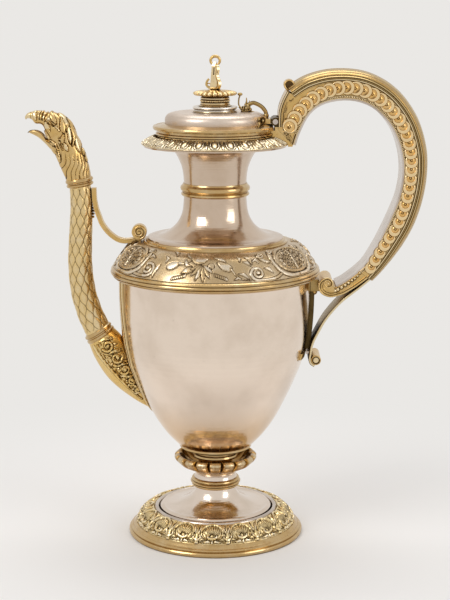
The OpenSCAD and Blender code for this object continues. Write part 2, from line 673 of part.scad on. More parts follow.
// Outer edge of the cheeks, from the top roll round to the split
outer_line = smooth(hung_all([[54.6, 323], [66.4, 330.3], [83.8, 334.3], [104.9, 332.5], [123.2, 322.6],
    [136.7, 305.7],
    [143.7, 286.1], [145, 269], [142.5, 250], [136.5, 231.5], [127, 214.5], [117.5, 200.5], [110.5, 192]]),
        4);
// Inner edge of the cheeks, from the mouth round to the lower branch
inner_points = hung_all([[55.6, 288], [59, 297.9], [65.9, 310.5], [77, 318.1], [94.5, 320.4], [110.7, 315.4],
    [123.6, 302.8], [130.9, 287.3], [133.7, 270.4], [131.8, 253], [126, 237], [117.5, 218.5], [108.8, 203.5],
    [103, 197.2]]);
// The inner strap runs on over the lower branch, down to the volute
strap_line = smooth(concat(inner_points, hung_all([[97.4, 192.6], [91.6, 188.5], [86.9, 186.3]])), 4);
cheek_end = 4 * (len(inner_points) - 1);
inner_line = [for (i = [0:cheek_end]) strap_line[i]];
// Front edge of the handle, from the top roll down to the mouth
front_line = hung_all([[50.4, 325.4], [47, 318.6], [45, 312], [44.6, 306], [44.6, 300.6]]);
// Foot of the handle over the border of the mouth
foot_line = hung_all([[44.6, 298.6], [52.8, 290.8]]);
// Row of disc centres
disc_line = smooth(hung_all([[52.7, 301.4], [59.6, 312.2], [70, 321.6], [83.2, 327.2], [96.8, 327.9],
    [109.8, 323.7],
    [120.3, 316.2], [129.2, 306], [135.2, 294], [138.3, 280.2], [138.4, 267.2], [136.9, 254], [133.3, 240.5],
    [129.3, 230.4], [123.8, 221.4], [118.6, 213.1], [111, 200.1]]), 6);
half_w = handle_w / 2;
cheek_y = half_w - edge_proud;
function plate_x(z) = lookup(z, [for (p = front_line) [p[1], p[0]]]);

// Room for the knuckles below and above their own radius
hinge_room = 0.4;
saddle_top_z = hinge_z - knuckle_r - hinge_room - 0.1;
// Block that carries the foot of the handle on the border and the collar of the mouth
module handle_saddle() {
    y = cheek_y - cheek_t - joint_gap;
    step_x = hinge_flat_x + 1.2;
    step_z = cover_z - 0.3;
    color(gilt) difference() {
        plate([[38, step_z], [step_x, step_z], [step_x, saddle_top_z], [45.9, saddle_top_z], [50, cover_z],
            [mouth_r + 1.9, mouth_z + 5.4], [mouth_r + 2.7, mouth_z + 1.6], [mouth_r + 2.1, mouth_z - 0.4],
            [38, mouth_z - 0.4]], -y, y);
        turned([[0, mouth_z - 7], [mouth_r + 0.3, mouth_z - 7], [mouth_r + 0.3, mouth_z + 1.1],
            [mouth_r - 2.5, mouth_z + 3.2],
            [mouth_r - 5.9, mouth_z + 5], [mouth_collar_r + 2.2, mouth_z + 6.3],
                [mouth_collar_r + 0.1, mouth_z + 6.3],
            [mouth_collar_r + 0.1, cover_z - 4.3], [mouth_collar_r + 1, cover_z - 3.5],
            [mouth_collar_r + 1, cover_z - 2.3], [mouth_collar_r - 0.3, cover_z - 1.7],
            [mouth_collar_r - 0.3, cover_z + 1], [0, cover_z + 1]]);
    }
}
// Front of the handle, with a window for the knuckles of the hinge
module handle_front_plate() {
    y = cheek_y - cheek_t - joint_gap;
    window_y = hinge_w / 2 + joint_gap;
    window_z = knuckle_r + hinge_room;
    color(gilt) difference() {
        plate(between(front_line, [for (p = front_line) p + [strap_t, 0]]), -y, y);
        translate([0, -window_y, hinge_z - window_z]) cube([2 * hinge_x, 2 * window_y, 2 * window_z]);
    }
}
// Half of the cross-section of the outer strap, as [y, height above the edge of the cheeks]:
// its top from the edge to the crown, and its underside from the edge to the crown
strap_top = [[half_w, 0], [half_w, edge_w], [0.7 * half_w, edge_w + 0.62 * strap_crown],
    [0.36 * half_w, edge_w + 0.92 * strap_crown], [0, edge_w + strap_crown]];
lip_y = cheek_y + joint_gap;
strap_under = [[lip_y, 0], [lip_y, edge_w - strap_t + 0.6], [0.68 * half_w,
    edge_w + 0.62 * strap_crown - strap_t],
    [0.34 * half_w, edge_w + 0.92 * strap_crown - strap_t], [0, edge_w + strap_crown - strap_t]];
function flipped(h) = [for (i = [len(h) - 2:-1:0]) [-h[i][0], h[i][1]]];
strap_section = concat(reversed(concat(strap_top, flipped(strap_top))),
    concat(strap_under, flipped(strap_under)));
// The crown falls over this many steps towards the lower end, to strap_end_s of its height
strap_fall = 8;
strap_end_s = 0.68;
function strap_s(k) = min(1, strap_end_s + (1 - strap_end_s) * k / strap_fall);
module handle_outer_strap() {
    c = outer_line;
    last = len(c) - 1;
    color(gilt) difference() {
        skin([for (i = [0:last]) let (n = normal(c, i), s = strap_s(last - i))
            [for (q = strap_section) [c[i][0] + n[0] * q[1] * s, q[0], c[i][1] + n[1] * q[1] * s]]]);
        top_roll_body(joint_gap);
    }
}
module handle_inner_strap() {
    color(silver) plate(strip(strap_line, 0, -strap_t), -cheek_y, cheek_y);
}
cheek_outline = concat(shifted(outer_line, 0.5), reversed(shifted(inner_line, 0.1)), reversed(foot_line),
    reversed(front_line));
module handle_cheeks() {
    color(gilt) for (s = [0, 1]) mirror([0, s, 0]) plate(cheek_outline, cheek_y - cheek_t, cheek_y);
}
// Points spaced evenly along a curve
function lengths(c, i = 0, sum = 0) =
    i >= len(c) - 1 ? [sum] : concat([sum], lengths(c, i + 1, sum + norm(c[i + 1] - c[i])));
function spread(c, n) =
    let (s = lengths(c), total = s[len(s) - 1],
         xs = [for (i = [0:len(c) - 1]) [s[i], c[i][0]]], zs = [for (i = [0:len(c) - 1]) [s[i], c[i][1]]])
    [for (k = [0:n - 1]) let (d = total * k / (n - 1)) [lookup(d, xs), lookup(d, zs)]];
module handle_discs() {
    centres = spread(disc_line, disc_count);
    boss_r = 1.6;
    color(gilt) for (s = [0, 1]) mirror([0, s, 0]) {
        for (k = [0:disc_count - 1]) let (c = centres[k], low = k % 2, share = k / (disc_count - 1))
            bar(c[0], c[1], disc_r + (disc_low_r - disc_r) * share, cheek_y,
                cheek_y + disc_relief - 0.3 * low);
        for (c = centres) bar(c[0], c[1], boss_r, cheek_y, cheek_y + disc_relief + 0.35);
    }
}
top_roll = hung([52.3, 329.4]);
// Outside of the roll and of the neck that carries it, grown by g
module top_roll_body(g) {
    y = top_roll_w / 2 + g;
    bar(top_roll[0], top_roll[1], top_roll_r + g, -y, y);
    neck = [[-1.7 - g, -3.9], [0.7, -3.9], [3.1 + g, -2.4], [2.3 + g, 1.2], [-1.9 - g, -1.4]];
    plate([for (p = neck) top_roll + p], -y, y);
}
module handle_top_roll() {
    hollow = 2;
    color(gilt) difference() {
        top_roll_body(0);
        for (s = [-1, 1]) let (y = s * top_roll_w / 2)
            bar(top_roll[0], top_roll[1], top_roll_r - 1.2, y - hollow, y + hollow);
    }
}
// Branch that curls back from the handle to the shoulder: its upper and its lower edge, and its coil
branch_top = [for (i = [cheek_end:len(strap_line) - 1]) strap_line[i]];
branch_low = smooth(hung_all([[109.2, 192.5], [104.4, 188.8], [98.4, 184.6], [91.8, 180.9], [87.4, 179.6]]));
coil_line = smooth(hung_all([[87.4, 179.6], [82.5, 178.9], [78.2, 180.1], [75.4, 182.3], [73.9, 185.7],
    [74.3, 189.2], [76.4, 191.7], [78.9, 193], [81.7, 192.9], [83.9, 191.1], [84.7, 188.2], [84.9, 186]]));
coil_middle = hung([80.5, 186]);
module handle_volute() {
    y = cheek_y - cheek_t - joint_gap;
    under_strap = shifted(branch_top, 2 * joint_gap);
    color(gilt) {
        plate(concat(under_strap, [coil_middle], reversed(branch_low)), -cheek_y, cheek_y);
        plate([under_strap[0], hung([104.2, 198]), hung([109.4, 193.6]), branch_low[0], hung([104, 193])],
            -y, y);
        plate(coil_line, -half_w, half_w);
    }
}
block_low_z = body_top_z - 10.6;
module handle_shoulder_block() {
    y = 5;
    block_d = 7;
    top_z = body_top_z - 2;
    color(gilt) difference() {
        translate([body_r + 0.05, -y, block_low_z]) cube([block_d, 2 * y, top_z - block_low_z]);
        plate(shifted(coil_line, joint_gap), -2 * y, 2 * y);
    }
}
tail_line = smooth(hung_all([[111.6, 190.6], [104.1, 184.4], [97, 179.3], [89.9, 173.4], [82.8, 165.7],
    [77.1, 158.3],
    [73.4, 150.9], [71.2, 143], [70.7, 135.6]]));
clip_z = 134.2;
clip_h = 4.4;
clip_t = 1.1;
// Strap that runs down the body from the block to the clip
module handle_stay() {
    stay_t = 3.1;
    low_z = clip_z + clip_h + joint_gap;
    color(gilt) intersection() {
        difference() {
            turned(body_outline(stay_t));
            rotate_extrude($fn = 360) polygon(body_outline(0.1));
            plate(strip(tail_line, joint_gap, -tail_t - joint_gap), -stay_w, stay_w);
        }
        translate([0, -stay_w / 2, low_z]) cube([body_r + 5, stay_w, block_low_z - joint_gap - low_z]);
    }
}
tail_roll = hung([72.9, 131.9]);
module handle_tail() {
    y = tail_w / 2;
    color(gilt) difference() {
        plate(strip(tail_line, 0, -tail_t), -y, y);
        bar(tail_roll[0], tail_roll[1], tail_roll_r + joint_gap, -2 * y, 2 * y);
        turned(body_outline(clip_t + joint_gap));
        rivet_shanks(joint_gap);
    }
}
module handle_tail_roll() {
    y = tail_w / 2 + 0.4;
    hollow = 1.5;
    color(gilt) difference() {
        bar(tail_roll[0], tail_roll[1], tail_roll_r, -y, y);
        for (s = [-1, 1]) bar(tail_roll[0], tail_roll[1], tail_roll_r - 1, s * y - hollow, s * y + hollow);
    }
}
module handle_clip() {
    color(gilt) intersection() {
        difference() {
            turned(body_outline(clip_t));
            turned(body_outline(0.05));
        }
        translate([0, -clip_w / 2, clip_z]) cube([body_r + 5, clip_w, clip_h]);
    }
}
rivet_x = lookup(clip_z + clip_h / 2, [for (p = body_curve) [p[1], p[0]]]) + clip_t + joint_gap;
// Shanks of the two rivets through the tail and the clip, grown by g
module rivet_shanks(g) {
    rivet_r = 1.3;
    for (s = [-1, 1]) translate([rivet_x, s * tail_w / 4, clip_z + clip_h / 2])
        rotate([0, 90, 0]) cylinder(r = rivet_r + g, h = 4.2 + 4 * g, $fn = 32);
}
module handle_rivets() { color(silver) rivet_shanks(0); }

// ---- spout ----------------------------------------------------------------

plate_right = [[0, 90.5], [4, 93], [12, 100], [19.5, 112], [23.5, 125], [25, 140], [24.5, 155], [22.5, 175],
    [22, 191.6]];
module spout_plate() {
    side = smooth(plate_right, 3);
    color(gilt) difference() {
        intersection() {
            difference() {
                turned(body_outline(plate_t));
                turned(body_outline(0.05));
            }
            rotate([90, 0, -90]) linear_extrude(body_r + 5)
                polygon(concat(side, [for (p = reversed(side)) [-p[0], p[1]]]));
        }
        inlet();
    }
}
// Distances from the axis at which the spout's points go with the cap alone and with the body alone
cap_part_x = 55;
body_part_x = 80;
// Points of the spout, carried along when the body or the cap changes.  The stations of a casting
// have two more values, its half depth and its half width.
drawn_cap_r = 48.8;
function poured(p) =
    let (s = lookup(-p[0], [[cap_part_x, 0], [body_part_x, 1]]), low = p[1] < drawn_body[1] ? 1 : s,
         d = low * (body_r - drawn_body[0]) + (1 - low) * (cap_r - drawn_cap_r))
    [for (i = [0:len(p) - 1]) p[i] - (i == 0 ? d : i == 1 ? drawn_body[1] - body_top_z : 0)];
function poured_all(c) = [for (p = c) poured(p)];

// Middle line of the tube from its lower to its upper end
tube_foot = poured([-86.2, 152.5]);
tube_top = poured([-96.5, 257]);
tube_foot_dir = [0.524, -0.852];
tube_top_dir = [-0.16, 0.987];
// Each casting runs a little past its seat and is cut off square by the room of the collar
seat_run = 2;
seat_gap = 0.1;
tube_middle = poured_all([[-91.8, 166.6], [-95.9, 182.2], [-97.6, 201.3], [-96.9, 221.6], [-95.9, 243.4]]);
tube_path = smooth(concat([tube_foot + seat_run * tube_foot_dir], tube_middle,
    [tube_top + seat_run * tube_top_dir]));
module low_collar_room() {
    along(tube_foot, tube_foot_dir) cylinder(r = 2 * low_collar_r, h = low_collar_h + 2 * seat_gap);
}
module top_collar_room() {
    along(tube_top, tube_top_dir) cylinder(r = 2 * top_collar_r, h = top_collar_h + 2 * seat_gap);
}
function tube_r(k) = tube_low_r + (tube_top_r - tube_low_r) * k / (len(tube_path) - 1);
// Stations of the spout's castings: x, z, half depth, half width
tube_stations = [for (k = [0:len(tube_path) - 1]) [tube_path[k][0], tube_path[k][1], tube_r(k), tube_r(k)]];
module spout_tube() {
    color(gilt) difference() {
        pipe(ovals(tube_stations), ovals(tube_stations, -spout_wall));
        low_collar_room();
        top_collar_room();
    }
}
// Moulded ring round the spout, with a stepped outline
module spout_ring(r, h, bore) {
    rotate_extrude() polygon([[bore, 0], [r - 1.4, 0], [r - 0.4, h * 0.12], [r - 0.2, h * 0.3],
        [r - 1, h * 0.4],
        [r - 0.9, h * 0.5], [r - 0.1, h * 0.6], [r, h * 0.8], [r - 0.6, h * 0.94], [r - 1.4, h], [bore, h]]);
}
module spout_low_collar() {
    color(gilt) along(tube_foot + seat_gap * tube_foot_dir, tube_foot_dir)
        spout_ring(low_collar_r, low_collar_h, tube_low_r - spout_wall);
}
module spout_top_collar() {
    color(gilt) along(tube_top + seat_gap * tube_top_dir, tube_top_dir)
        spout_ring(top_collar_r, top_collar_h, tube_top_r - spout_wall);
}
horn_start = tube_foot + (low_collar_h - seat_run) * tube_foot_dir;
horn_path = smooth(concat([[horn_start[0], horn_start[1], 10.4, 10.4]],
    poured_all([[-79, 141.2, 12.4, 11], [-73.5, 131.8, 13, 11.4], [-68, 123.2, 12.6, 11.2],
        [-61.9, 114.6, 10.6, 10.4], [-55.6, 106.3, 7.6, 8.4], [-49.6, 99, 4.6, 5.4],
        [-46.6, 93.8, 1.6, 1.8]])), 3);
channel_start = horn_start - seat_run * tube_foot_dir;
channel_path = smooth(concat([[channel_start[0], channel_start[1], 7.2, 7.2]],
    poured_all([[-78.3, 139.4, 6.4, 6.4], [-70, 134, 5.6, 5.6], [-60, 130.6, 5.4, 5.4]])), 3);
module spout_horn() {
    color(gilt) difference() {
        skin(ovals(horn_path, 0, 20));
        skin(ovals(channel_path, 0, 16));
        low_collar_room();
        turned(body_outline(plate_t + 0.05));
    }
}
// Neck and skull of the beast, from the collar to the tip of the upper beak
head_start = tube_top + (top_collar_h - seat_run) * tube_top_dir;
head_path = smooth(concat([[head_start[0], head_start[1], 9, 8.4]],
    poured_all([[-99.6, 272, 10, 8.8], [-103.4, 282.5, 10.6, 9.2], [-107.6, 292, 11.4, 9.6],
        [-113.6, 300, 9.8, 9.2], [-120.6, 304.8, 6.9, 7.2], [-128.4, 307.8, 3.8, 4],
        [-134.4, 307.2, 1.4, 1.4]])), 3);
throat_path = smooth(concat([[head_start[0] + 0.3, head_start[1] - 2, 5.6, 5.6]],
    poured_all([[-99.4, 270, 5.4, 5.6], [-103.4, 280, 5.2, 5.6], [-109.4, 288.6, 4.8, 5.2],
        [-118, 294.8, 3.6, 5], [-127, 300.4, 2.6, 4.6], [-140, 303, 2.6, 4.6]])), 3);
// Crest of feathers down the back of the neck
crest_line = smooth(poured_all([[-119.6, 308.4], [-117.1, 311.1], [-113.9, 312.2], [-110.3, 310.8],
    [-106.7, 308.1],
    [-102.3, 303.1], [-99.2, 296.8], [-96.6, 290.5], [-94.4, 285], [-91.8, 280], [-88.7, 272.2]]), 3);
crest_half_w = 2.6;
crest_depth = 4;
module spout_head() {
    color(gilt) difference() {
        union() {
            skin(ovals(head_path, 0, 20));
            plate(strip(crest_line, 0, -crest_depth), -crest_half_w, crest_half_w);
        }
        skin(ovals(throat_path, 0, 14));
        top_collar_room();
    }
}
jaw_path = smooth(poured_all([[-113.4, 285.4, 2.6, 5.6], [-119.4, 290.8, 2.8, 5.2], [-126, 294.8, 2.2, 4],
    [-132.6, 297.4, 0.9, 1.6]]), 3);
module spout_jaw() {
    color(gilt) difference() {
        skin(ovals(jaw_path, 0, 16));
        skin(ovals(head_path, 0.1, 20));
        skin(ovals(throat_path, 0, 14));
    }
}
stay_line = smooth(poured_all([[-86.7, 256], [-86.3, 246.5], [-85.1, 240.5], [-83.3, 235.5],
    [-81.4, 230.4], [-77.8, 225.1], [-73.6, 221.1], [-69.5, 218.6], [-65.4, 217.7], [-61.5, 217.9],
    [-56.2, 218.9], [-51.9, 221.2]]));
stay_volute = poured([-54.6, 224.4]);
stay_volute_r = 5.4;
spout_stay_t = 3.2;
module spout_stay() {
    y = spout_stay_w / 2;
    color(gilt) {
        plate(strip(stay_line, -spout_stay_t / 2, spout_stay_t / 2), -y, y);
        bar(stay_volute[0], stay_volute[1], stay_volute_r, -y - 0.8, y + 0.8);
    }
}
module spout_pad() {
    pad_t = 2.2;
    half = 4;
    out = 8;
    inward = min(1.2, -stay_volute[0] - band_in_r - joint_gap);
    color(gilt) difference() {
        intersection() {
            rotate_extrude($fn = 360) polygon(concat([for (p = band_curve) p + [0.1, 0.1]],
                reversed([for (p = band_curve) p + [pad_t, pad_t]])));
            translate([stay_volute[0] - out, -half, band_z]) cube([out + inward, 2 * half, 2 * band_rise]);
        }
        bar(stay_volute[0], stay_volute[1], stay_volute_r + joint_gap, -10, 10);
        plate(strip(stay_line, -spout_stay_t / 2 - joint_gap, spout_stay_t / 2 + joint_gap), -10, 10);
    }
}

foot_rim();
foot_border();
foot_bead();
foot_dish();
stem_washer();
stem_nut();
stem_rod();
stem_ring();
stem_spool();
knop_petals();
knop_collar();
body_socket();
body_shell();
shoulder_moulding();
shoulder_band();
shoulder_fillet();
neck_lower();
neck_collar();
neck_upper();
mouth_border();
mouth_collar();
cover_edge();
cover_bezel();
cover_dome();
cover_plinth();
finial_drum();
finial_rosette();
finial_scrolls();
finial_screw();
finial_nut();
cover_hinge_strap();
cover_knuckle();
thumbpiece();
hinge_pin();
hinge_knuckles();
handle_saddle();
handle_front_plate();
handle_outer_strap();
handle_inner_strap();
handle_cheeks();
handle_discs();
handle_top_roll();
handle_volute();
handle_shoulder_block();
handle_stay();
handle_tail();
handle_tail_roll();
handle_clip();
handle_rivets();
spout_plate();
spout_horn();
spout_low_collar();
spout_tube();
spout_top_collar();
spout_head();
spout_jaw();
spout_stay();
spout_pad();
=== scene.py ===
"""Looks of a parcel-gilt covered ewer, built round its packed construction.

Lengths in the lists are millimetres in the part's frame: Z up the axis of the vessel, the spout
towards -X and the handle towards +X.
"""

import math

import bmesh
import bpy
import numpy as np
from mathutils import Matrix, Vector


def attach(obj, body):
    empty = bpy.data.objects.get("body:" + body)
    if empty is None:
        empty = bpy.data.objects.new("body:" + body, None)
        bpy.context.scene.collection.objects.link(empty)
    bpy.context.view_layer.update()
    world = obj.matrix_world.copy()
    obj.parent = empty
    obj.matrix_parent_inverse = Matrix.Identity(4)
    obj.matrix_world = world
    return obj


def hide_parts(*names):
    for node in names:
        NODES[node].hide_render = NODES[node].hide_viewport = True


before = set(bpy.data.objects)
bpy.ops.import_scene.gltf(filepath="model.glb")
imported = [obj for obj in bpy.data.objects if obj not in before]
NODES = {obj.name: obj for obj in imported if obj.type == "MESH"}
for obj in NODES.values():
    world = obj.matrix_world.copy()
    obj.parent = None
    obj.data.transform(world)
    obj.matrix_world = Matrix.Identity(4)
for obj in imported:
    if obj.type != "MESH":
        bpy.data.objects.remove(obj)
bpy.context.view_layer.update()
MM = 0.001
TURN = 2 * math.pi
SIDES = (-1, 1)


# ---- curves ----------------------------------------------------------------

def smooth(points, steps=4):
    """Catmull-Rom curve through the points, with so many steps to each span."""
    points = np.asarray(points, float)
    last = len(points) - 1
    curve = []
    for i in range(last):
        a, b = points[max(i - 1, 0)], points[i]
        c, d = points[i + 1], points[min(i + 2, last)]
        for t in np.arange(steps) / steps:
            curve.append(0.5 * (2 * b + (c - a) * t + (2 * a - 5 * b + 4 * c - d) * t ** 2
                                + (3 * b - a - 3 * c + d) * t ** 3))
    return np.array(curve + [points[last]])


def lengths(curve):
    """How far along a curve each of its points lies."""
    return np.concatenate([[0], np.cumsum(np.linalg.norm(np.diff(curve, axis=0), axis=1))])


def sampled(table, at):
    """Rows of a table at row numbers that may fall between two rows."""
    table = np.asarray(table, float)
    return np.stack([np.interp(at, np.arange(len(table)), column) for column in table.T], axis=1)


def spread(curve, count):
    """So many points spaced evenly along a curve."""
    run = lengths(curve)
    at = np.linspace(0, run[-1], count)
    return np.stack([np.interp(at, run, column) for column in curve.T], axis=1)


def normals_of(curve):
    """Left-hand normals of a plane curve."""
    along = np.gradient(curve[:, :2], axis=0)
    along /= np.linalg.norm(along, axis=1)[:, None]
    return np.stack([-along[:, 1], along[:, 0]], axis=1)


def shifted(curve, by):
    """A plane curve moved to its left."""
    return curve + by * normals_of(curve)


def beside(line, share):
    """Four columns: a plane line at shares of its rows, and its left-hand normals there."""
    return sampled(np.hstack([line, normals_of(line)]), share * (len(line) - 1)).T


def spiral(centre, start, end, turns, angle, sense=1, steps=14):
    """Spiral from radius start to radius end, that begins at an angle in degrees."""
    count = int(abs(turns) * steps) + 2
    share = np.linspace(0, 1, count)
    at = math.radians(angle) + sense * share * turns * TURN
    radius = start + (end - start) * share
    return np.stack([centre[0] + radius * np.cos(at), centre[1] + radius * np.sin(at)], axis=1)


def circle(centre, radius, steps, angle=0):
    """Closed ring of a radius that begins at an angle in degrees."""
    return spiral(centre, radius, radius, 1, angle, 1, steps)


def mirrored(half):
    """Rows from one edge to the middle, run on to the other edge with their first value negated."""
    return half + [(-row[0], *row[1:]) for row in half[-2::-1]]


def ramp(value, low, high):
    """Smooth step from 0 at low to 1 at high."""
    t = np.clip((value - low) / (high - low), 0, 1)
    return t * t * (3 - 2 * t)


def distance_to(points, line):
    """Distance of each 2-D point to a line of points, and its place along the line from 0 to 1."""
    best = np.full(len(points), 1e9)
    place = np.zeros(len(points))
    for i, (a, b) in enumerate(zip(line[:-1], line[1:])):
        ab = b - a
        t = np.clip((points - a) @ ab / max(ab @ ab, 1e-9), 0, 1)
        gap = points - a - t[:, None] * ab
        far = np.hypot(gap[:, 0], gap[:, 1])
        closer = far < best
        best[closer] = far[closer]
        place[closer] = (i + t[closer]) / (len(line) - 1)
    return best, place


def chased(points, strokes, outline):
    """Height and tone of raised strokes on a flat ground, each outlined by a groove.

    A stroke is (line, half widths spaced evenly along it, height).
    """
    height = np.zeros(len(points))
    tone = np.zeros(len(points))
    for line, widths, rise in strokes:
        line = np.asarray(line, float)
        reach = max(widths) + 2 * outline
        near = np.all((points > line.min(0) - reach) & (points < line.max(0) + reach), axis=1)
        if not near.any():
            continue
        gap, place = distance_to(points[near], line)
        half = np.maximum(np.interp(place, np.linspace(0, 1, len(widths)), widths), 0.05)
        body = np.sqrt(np.clip(1 - (gap / half) ** 2, 0, 1))
        groove = np.clip(1 - np.abs(gap - half - 0.35 * outline) / outline, 0, 1)
        inside = gap < half
        now, tint = height[near], tone[near]
        sunk = now - 0.35 * rise * groove * (now <= 0)
        height[near] = np.where(inside, np.maximum(now, rise * (0.45 + 0.55 * body)), sunk)
        tone[near] = np.where(inside, 0.25 + 0.75 * body, np.minimum(tint, -groove))
    return height, tone


def round_cell(angle, count, first, radius):
    """Distance in mm, at a radius, from the middle of the nearest of count motifs round the axis."""
    cell = TURN / count
    return ((angle - math.radians(first) + cell / 2) % cell - cell / 2) * radius


# ---- meshes ----------------------------------------------------------------

def finish_mesh(name, bm, material, body="ewer", replaces=(), crease=40):
    """Makes a piece of a bmesh: closed seams, outward faces, smooth shading with its creases kept."""
    bmesh.ops.remove_doubles(bm, verts=bm.verts, dist=2e-6)
    bmesh.ops.recalc_face_normals(bm, faces=bm.faces)
    mesh = bpy.data.meshes.new(name)
    bm.to_mesh(mesh)
    bm.free()
    piece = bpy.data.objects.new(name, mesh)
    bpy.context.scene.collection.objects.link(piece)
    mesh.polygons.foreach_set("use_smooth", [True] * len(mesh.polygons))
    mesh.set_sharp_from_angle(angle=math.radians(crease))
    mesh.materials.append(material)
    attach(piece, body)
    if replaces:
        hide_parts(*replaces)


def relief_of(bm):
    """Layer that holds how high (up to 1) or sunk (down to -1) each vertex is, for the gilding."""
    return bm.verts.layers.float.get("relief") or bm.verts.layers.float.new("relief")


def turned(outline, steps):
    """Solid of revolution about the vessel's axis from an outline of (radius, height)."""
    bm = bmesh.new()
    verts = [bm.verts.new((r * MM, 0, z * MM)) for r, z in outline]
    edges = [bm.edges.new(pair) for pair in zip(verts, verts[1:] + verts[:1])]
    bmesh.ops.spin(bm, geom=verts + edges, cent=(0, 0, 0), axis=(0, 0, 1), dvec=(0, 0, 0),
                   angle=TURN, steps=steps, use_merge=True)
    bmesh.ops.remove_doubles(bm, verts=bm.verts, dist=1e-6)
    bmesh.ops.recalc_face_normals(bm, faces=bm.faces)
    return bm


def mapped(columns, rows, place, caps=True, keep=None):
    """Grid of columns by rows laid where place(u, v) says. Its seams merge and its ends are capped.

    place gives the points in mm and the relief tone of each.
    """
    bm = keep or bmesh.new()
    layer = relief_of(bm)
    made = bmesh.ops.create_grid(bm, x_segments=columns, y_segments=rows, size=0.5)["verts"]
    uv = np.array([v.co for v in made])[:, :2] + 0.5
    points, tone = place(uv[:, 0], uv[:, 1])
    for vert, point, tint in zip(made, points * MM, tone):
        vert.co = point
        vert[layer] = tint
    bmesh.ops.remove_doubles(bm, verts=[v for v in made if v.is_boundary], dist=2e-6)
    made = [v for v in made if v.is_valid]
    if caps:
        rims = [e for e in {e for v in made for e in v.link_edges} if e.is_boundary]
        bmesh.ops.holes_fill(bm, edges=rims, sides=0)
    return bm


def rail(section, line, shape, keep=None):
    """Section of rows swept along a plane line.

    From the share of the line and the columns of the section, shape gives how far out of the line,
    how far across it, and the tone.
    """
    def place(u, v):
        x, z, nx, nz = beside(line, v)
        out, across, tint = shape(v, *sampled(section, u * (len(section) - 1)).T)
        return np.stack([x + nx * out, across, z + nz * out], axis=1), tint

    return mapped(len(section) - 1, len(line) - 1, place, keep=keep)


def sculpt(bm, shape):
    """Moves vertices by what shape gives, in mm: a height along the normal or a way, and the tone."""
    bm.normal_update()
    layer = relief_of(bm)
    verts = list(bm.verts)
    points = np.array([v.co for v in verts]) / MM
    move, tone = shape(points)
    if move.ndim == 1:
        move = move[:, None] * np.array([v.normal for v in verts])
    for vert, point, tint in zip(verts, (points + move) * MM, tone):
        vert.co = point
        vert[layer] = tint
    return bm


def radial(points):
    """Angle about the vessel's axis, and distance from it."""
    return np.arctan2(points[:, 1], points[:, 0]), np.hypot(points[:, 0], points[:, 1])


def face_place(points, curve):
    """For points of a turned shape: angle, distance along the face's curve, and whether on it."""
    angle, far = radial(points)
    gap = np.full(len(points), 1e9)
    run = np.zeros(len(points))
    for (radius, height), distance in zip(curve, lengths(curve)):
        away = np.hypot(far - radius, points[:, 2] - height)
        closer = away < gap
        gap[closer] = away[closer]
        run[closer] = distance
    return angle, run, gap < 0.02


def chased_ring(curve, back, steps, cell, strokes, outline, rises, share=1.0):
    """Turned ring whose face, the curve, is chased with strokes; back is the rest of its outline.

    cell turns an angle into the distance across the motif there. The relief rises between the two
    distances of rises[0] from the start of the face, and of rises[1] from its end, to a share of
    the height of its strokes.
    """
    end = lengths(curve)[-1]

    def shape(points):
        angle, run, on_face = face_place(points, curve)
        height, tone = chased(np.stack([cell(angle), run], axis=1), strokes, outline)
        fade = ramp(run, *rises[0]) * ramp(end - run, *rises[1]) * on_face
        return share * height * fade, tone * fade

    return sculpt(turned([*curve, *back], steps), shape)


def wire(bm, line, radius, y=0.0, count=10, flat=1.0, end=1.0, tint=0.5):
    """Round wire along a line of (x, z) or (x, y, z). It narrows to end times its radius."""
    line = np.asarray(line, float)
    if line.shape[1] == 2:
        line = np.stack([line[:, 0], np.full(len(line), y), line[:, 1]], axis=1)
    along = np.gradient(line, axis=0)
    along /= np.maximum(np.linalg.norm(along, axis=1), 1e-9)[:, None]
    side = np.cross(along, [0.0, 1.0, 0.0])
    weak = np.linalg.norm(side, axis=1) < 0.2
    side[weak] = np.cross(along[weak], [1.0, 0.0, 0.0])
    side /= np.linalg.norm(side, axis=1)[:, None]
    other = np.cross(along, side)
    rows = len(line) - 1

    def place(u, v):
        at = v * rows
        turn = (u * TURN)[:, None]
        size = (radius * (1 + (end - 1) * v))[:, None]
        round_it = np.cos(turn) * sampled(side, at) + flat * np.sin(turn) * sampled(other, at)
        return sampled(line, at) + size * round_it, tint * (0.4 + 0.6 * np.cos(turn[:, 0]))

    mapped(count, rows, place, keep=bm)


def ball(bm, centre, radii, tint=0.7, segments=12):
    """Ellipsoid pearl at a point in mm, with one radius or three."""
    matrix = Matrix.Translation(Vector(centre) * MM)
    matrix = matrix @ Matrix.Diagonal((*[r * MM for r in np.broadcast_to(radii, 3)], 1))
    layer = relief_of(bm)
    made = bmesh.ops.create_uvsphere(bm, u_segments=segments, v_segments=max(6, segments // 2 + 1),
                                     radius=1, matrix=matrix)
    for vert in made["verts"]:
        vert[layer] = tint


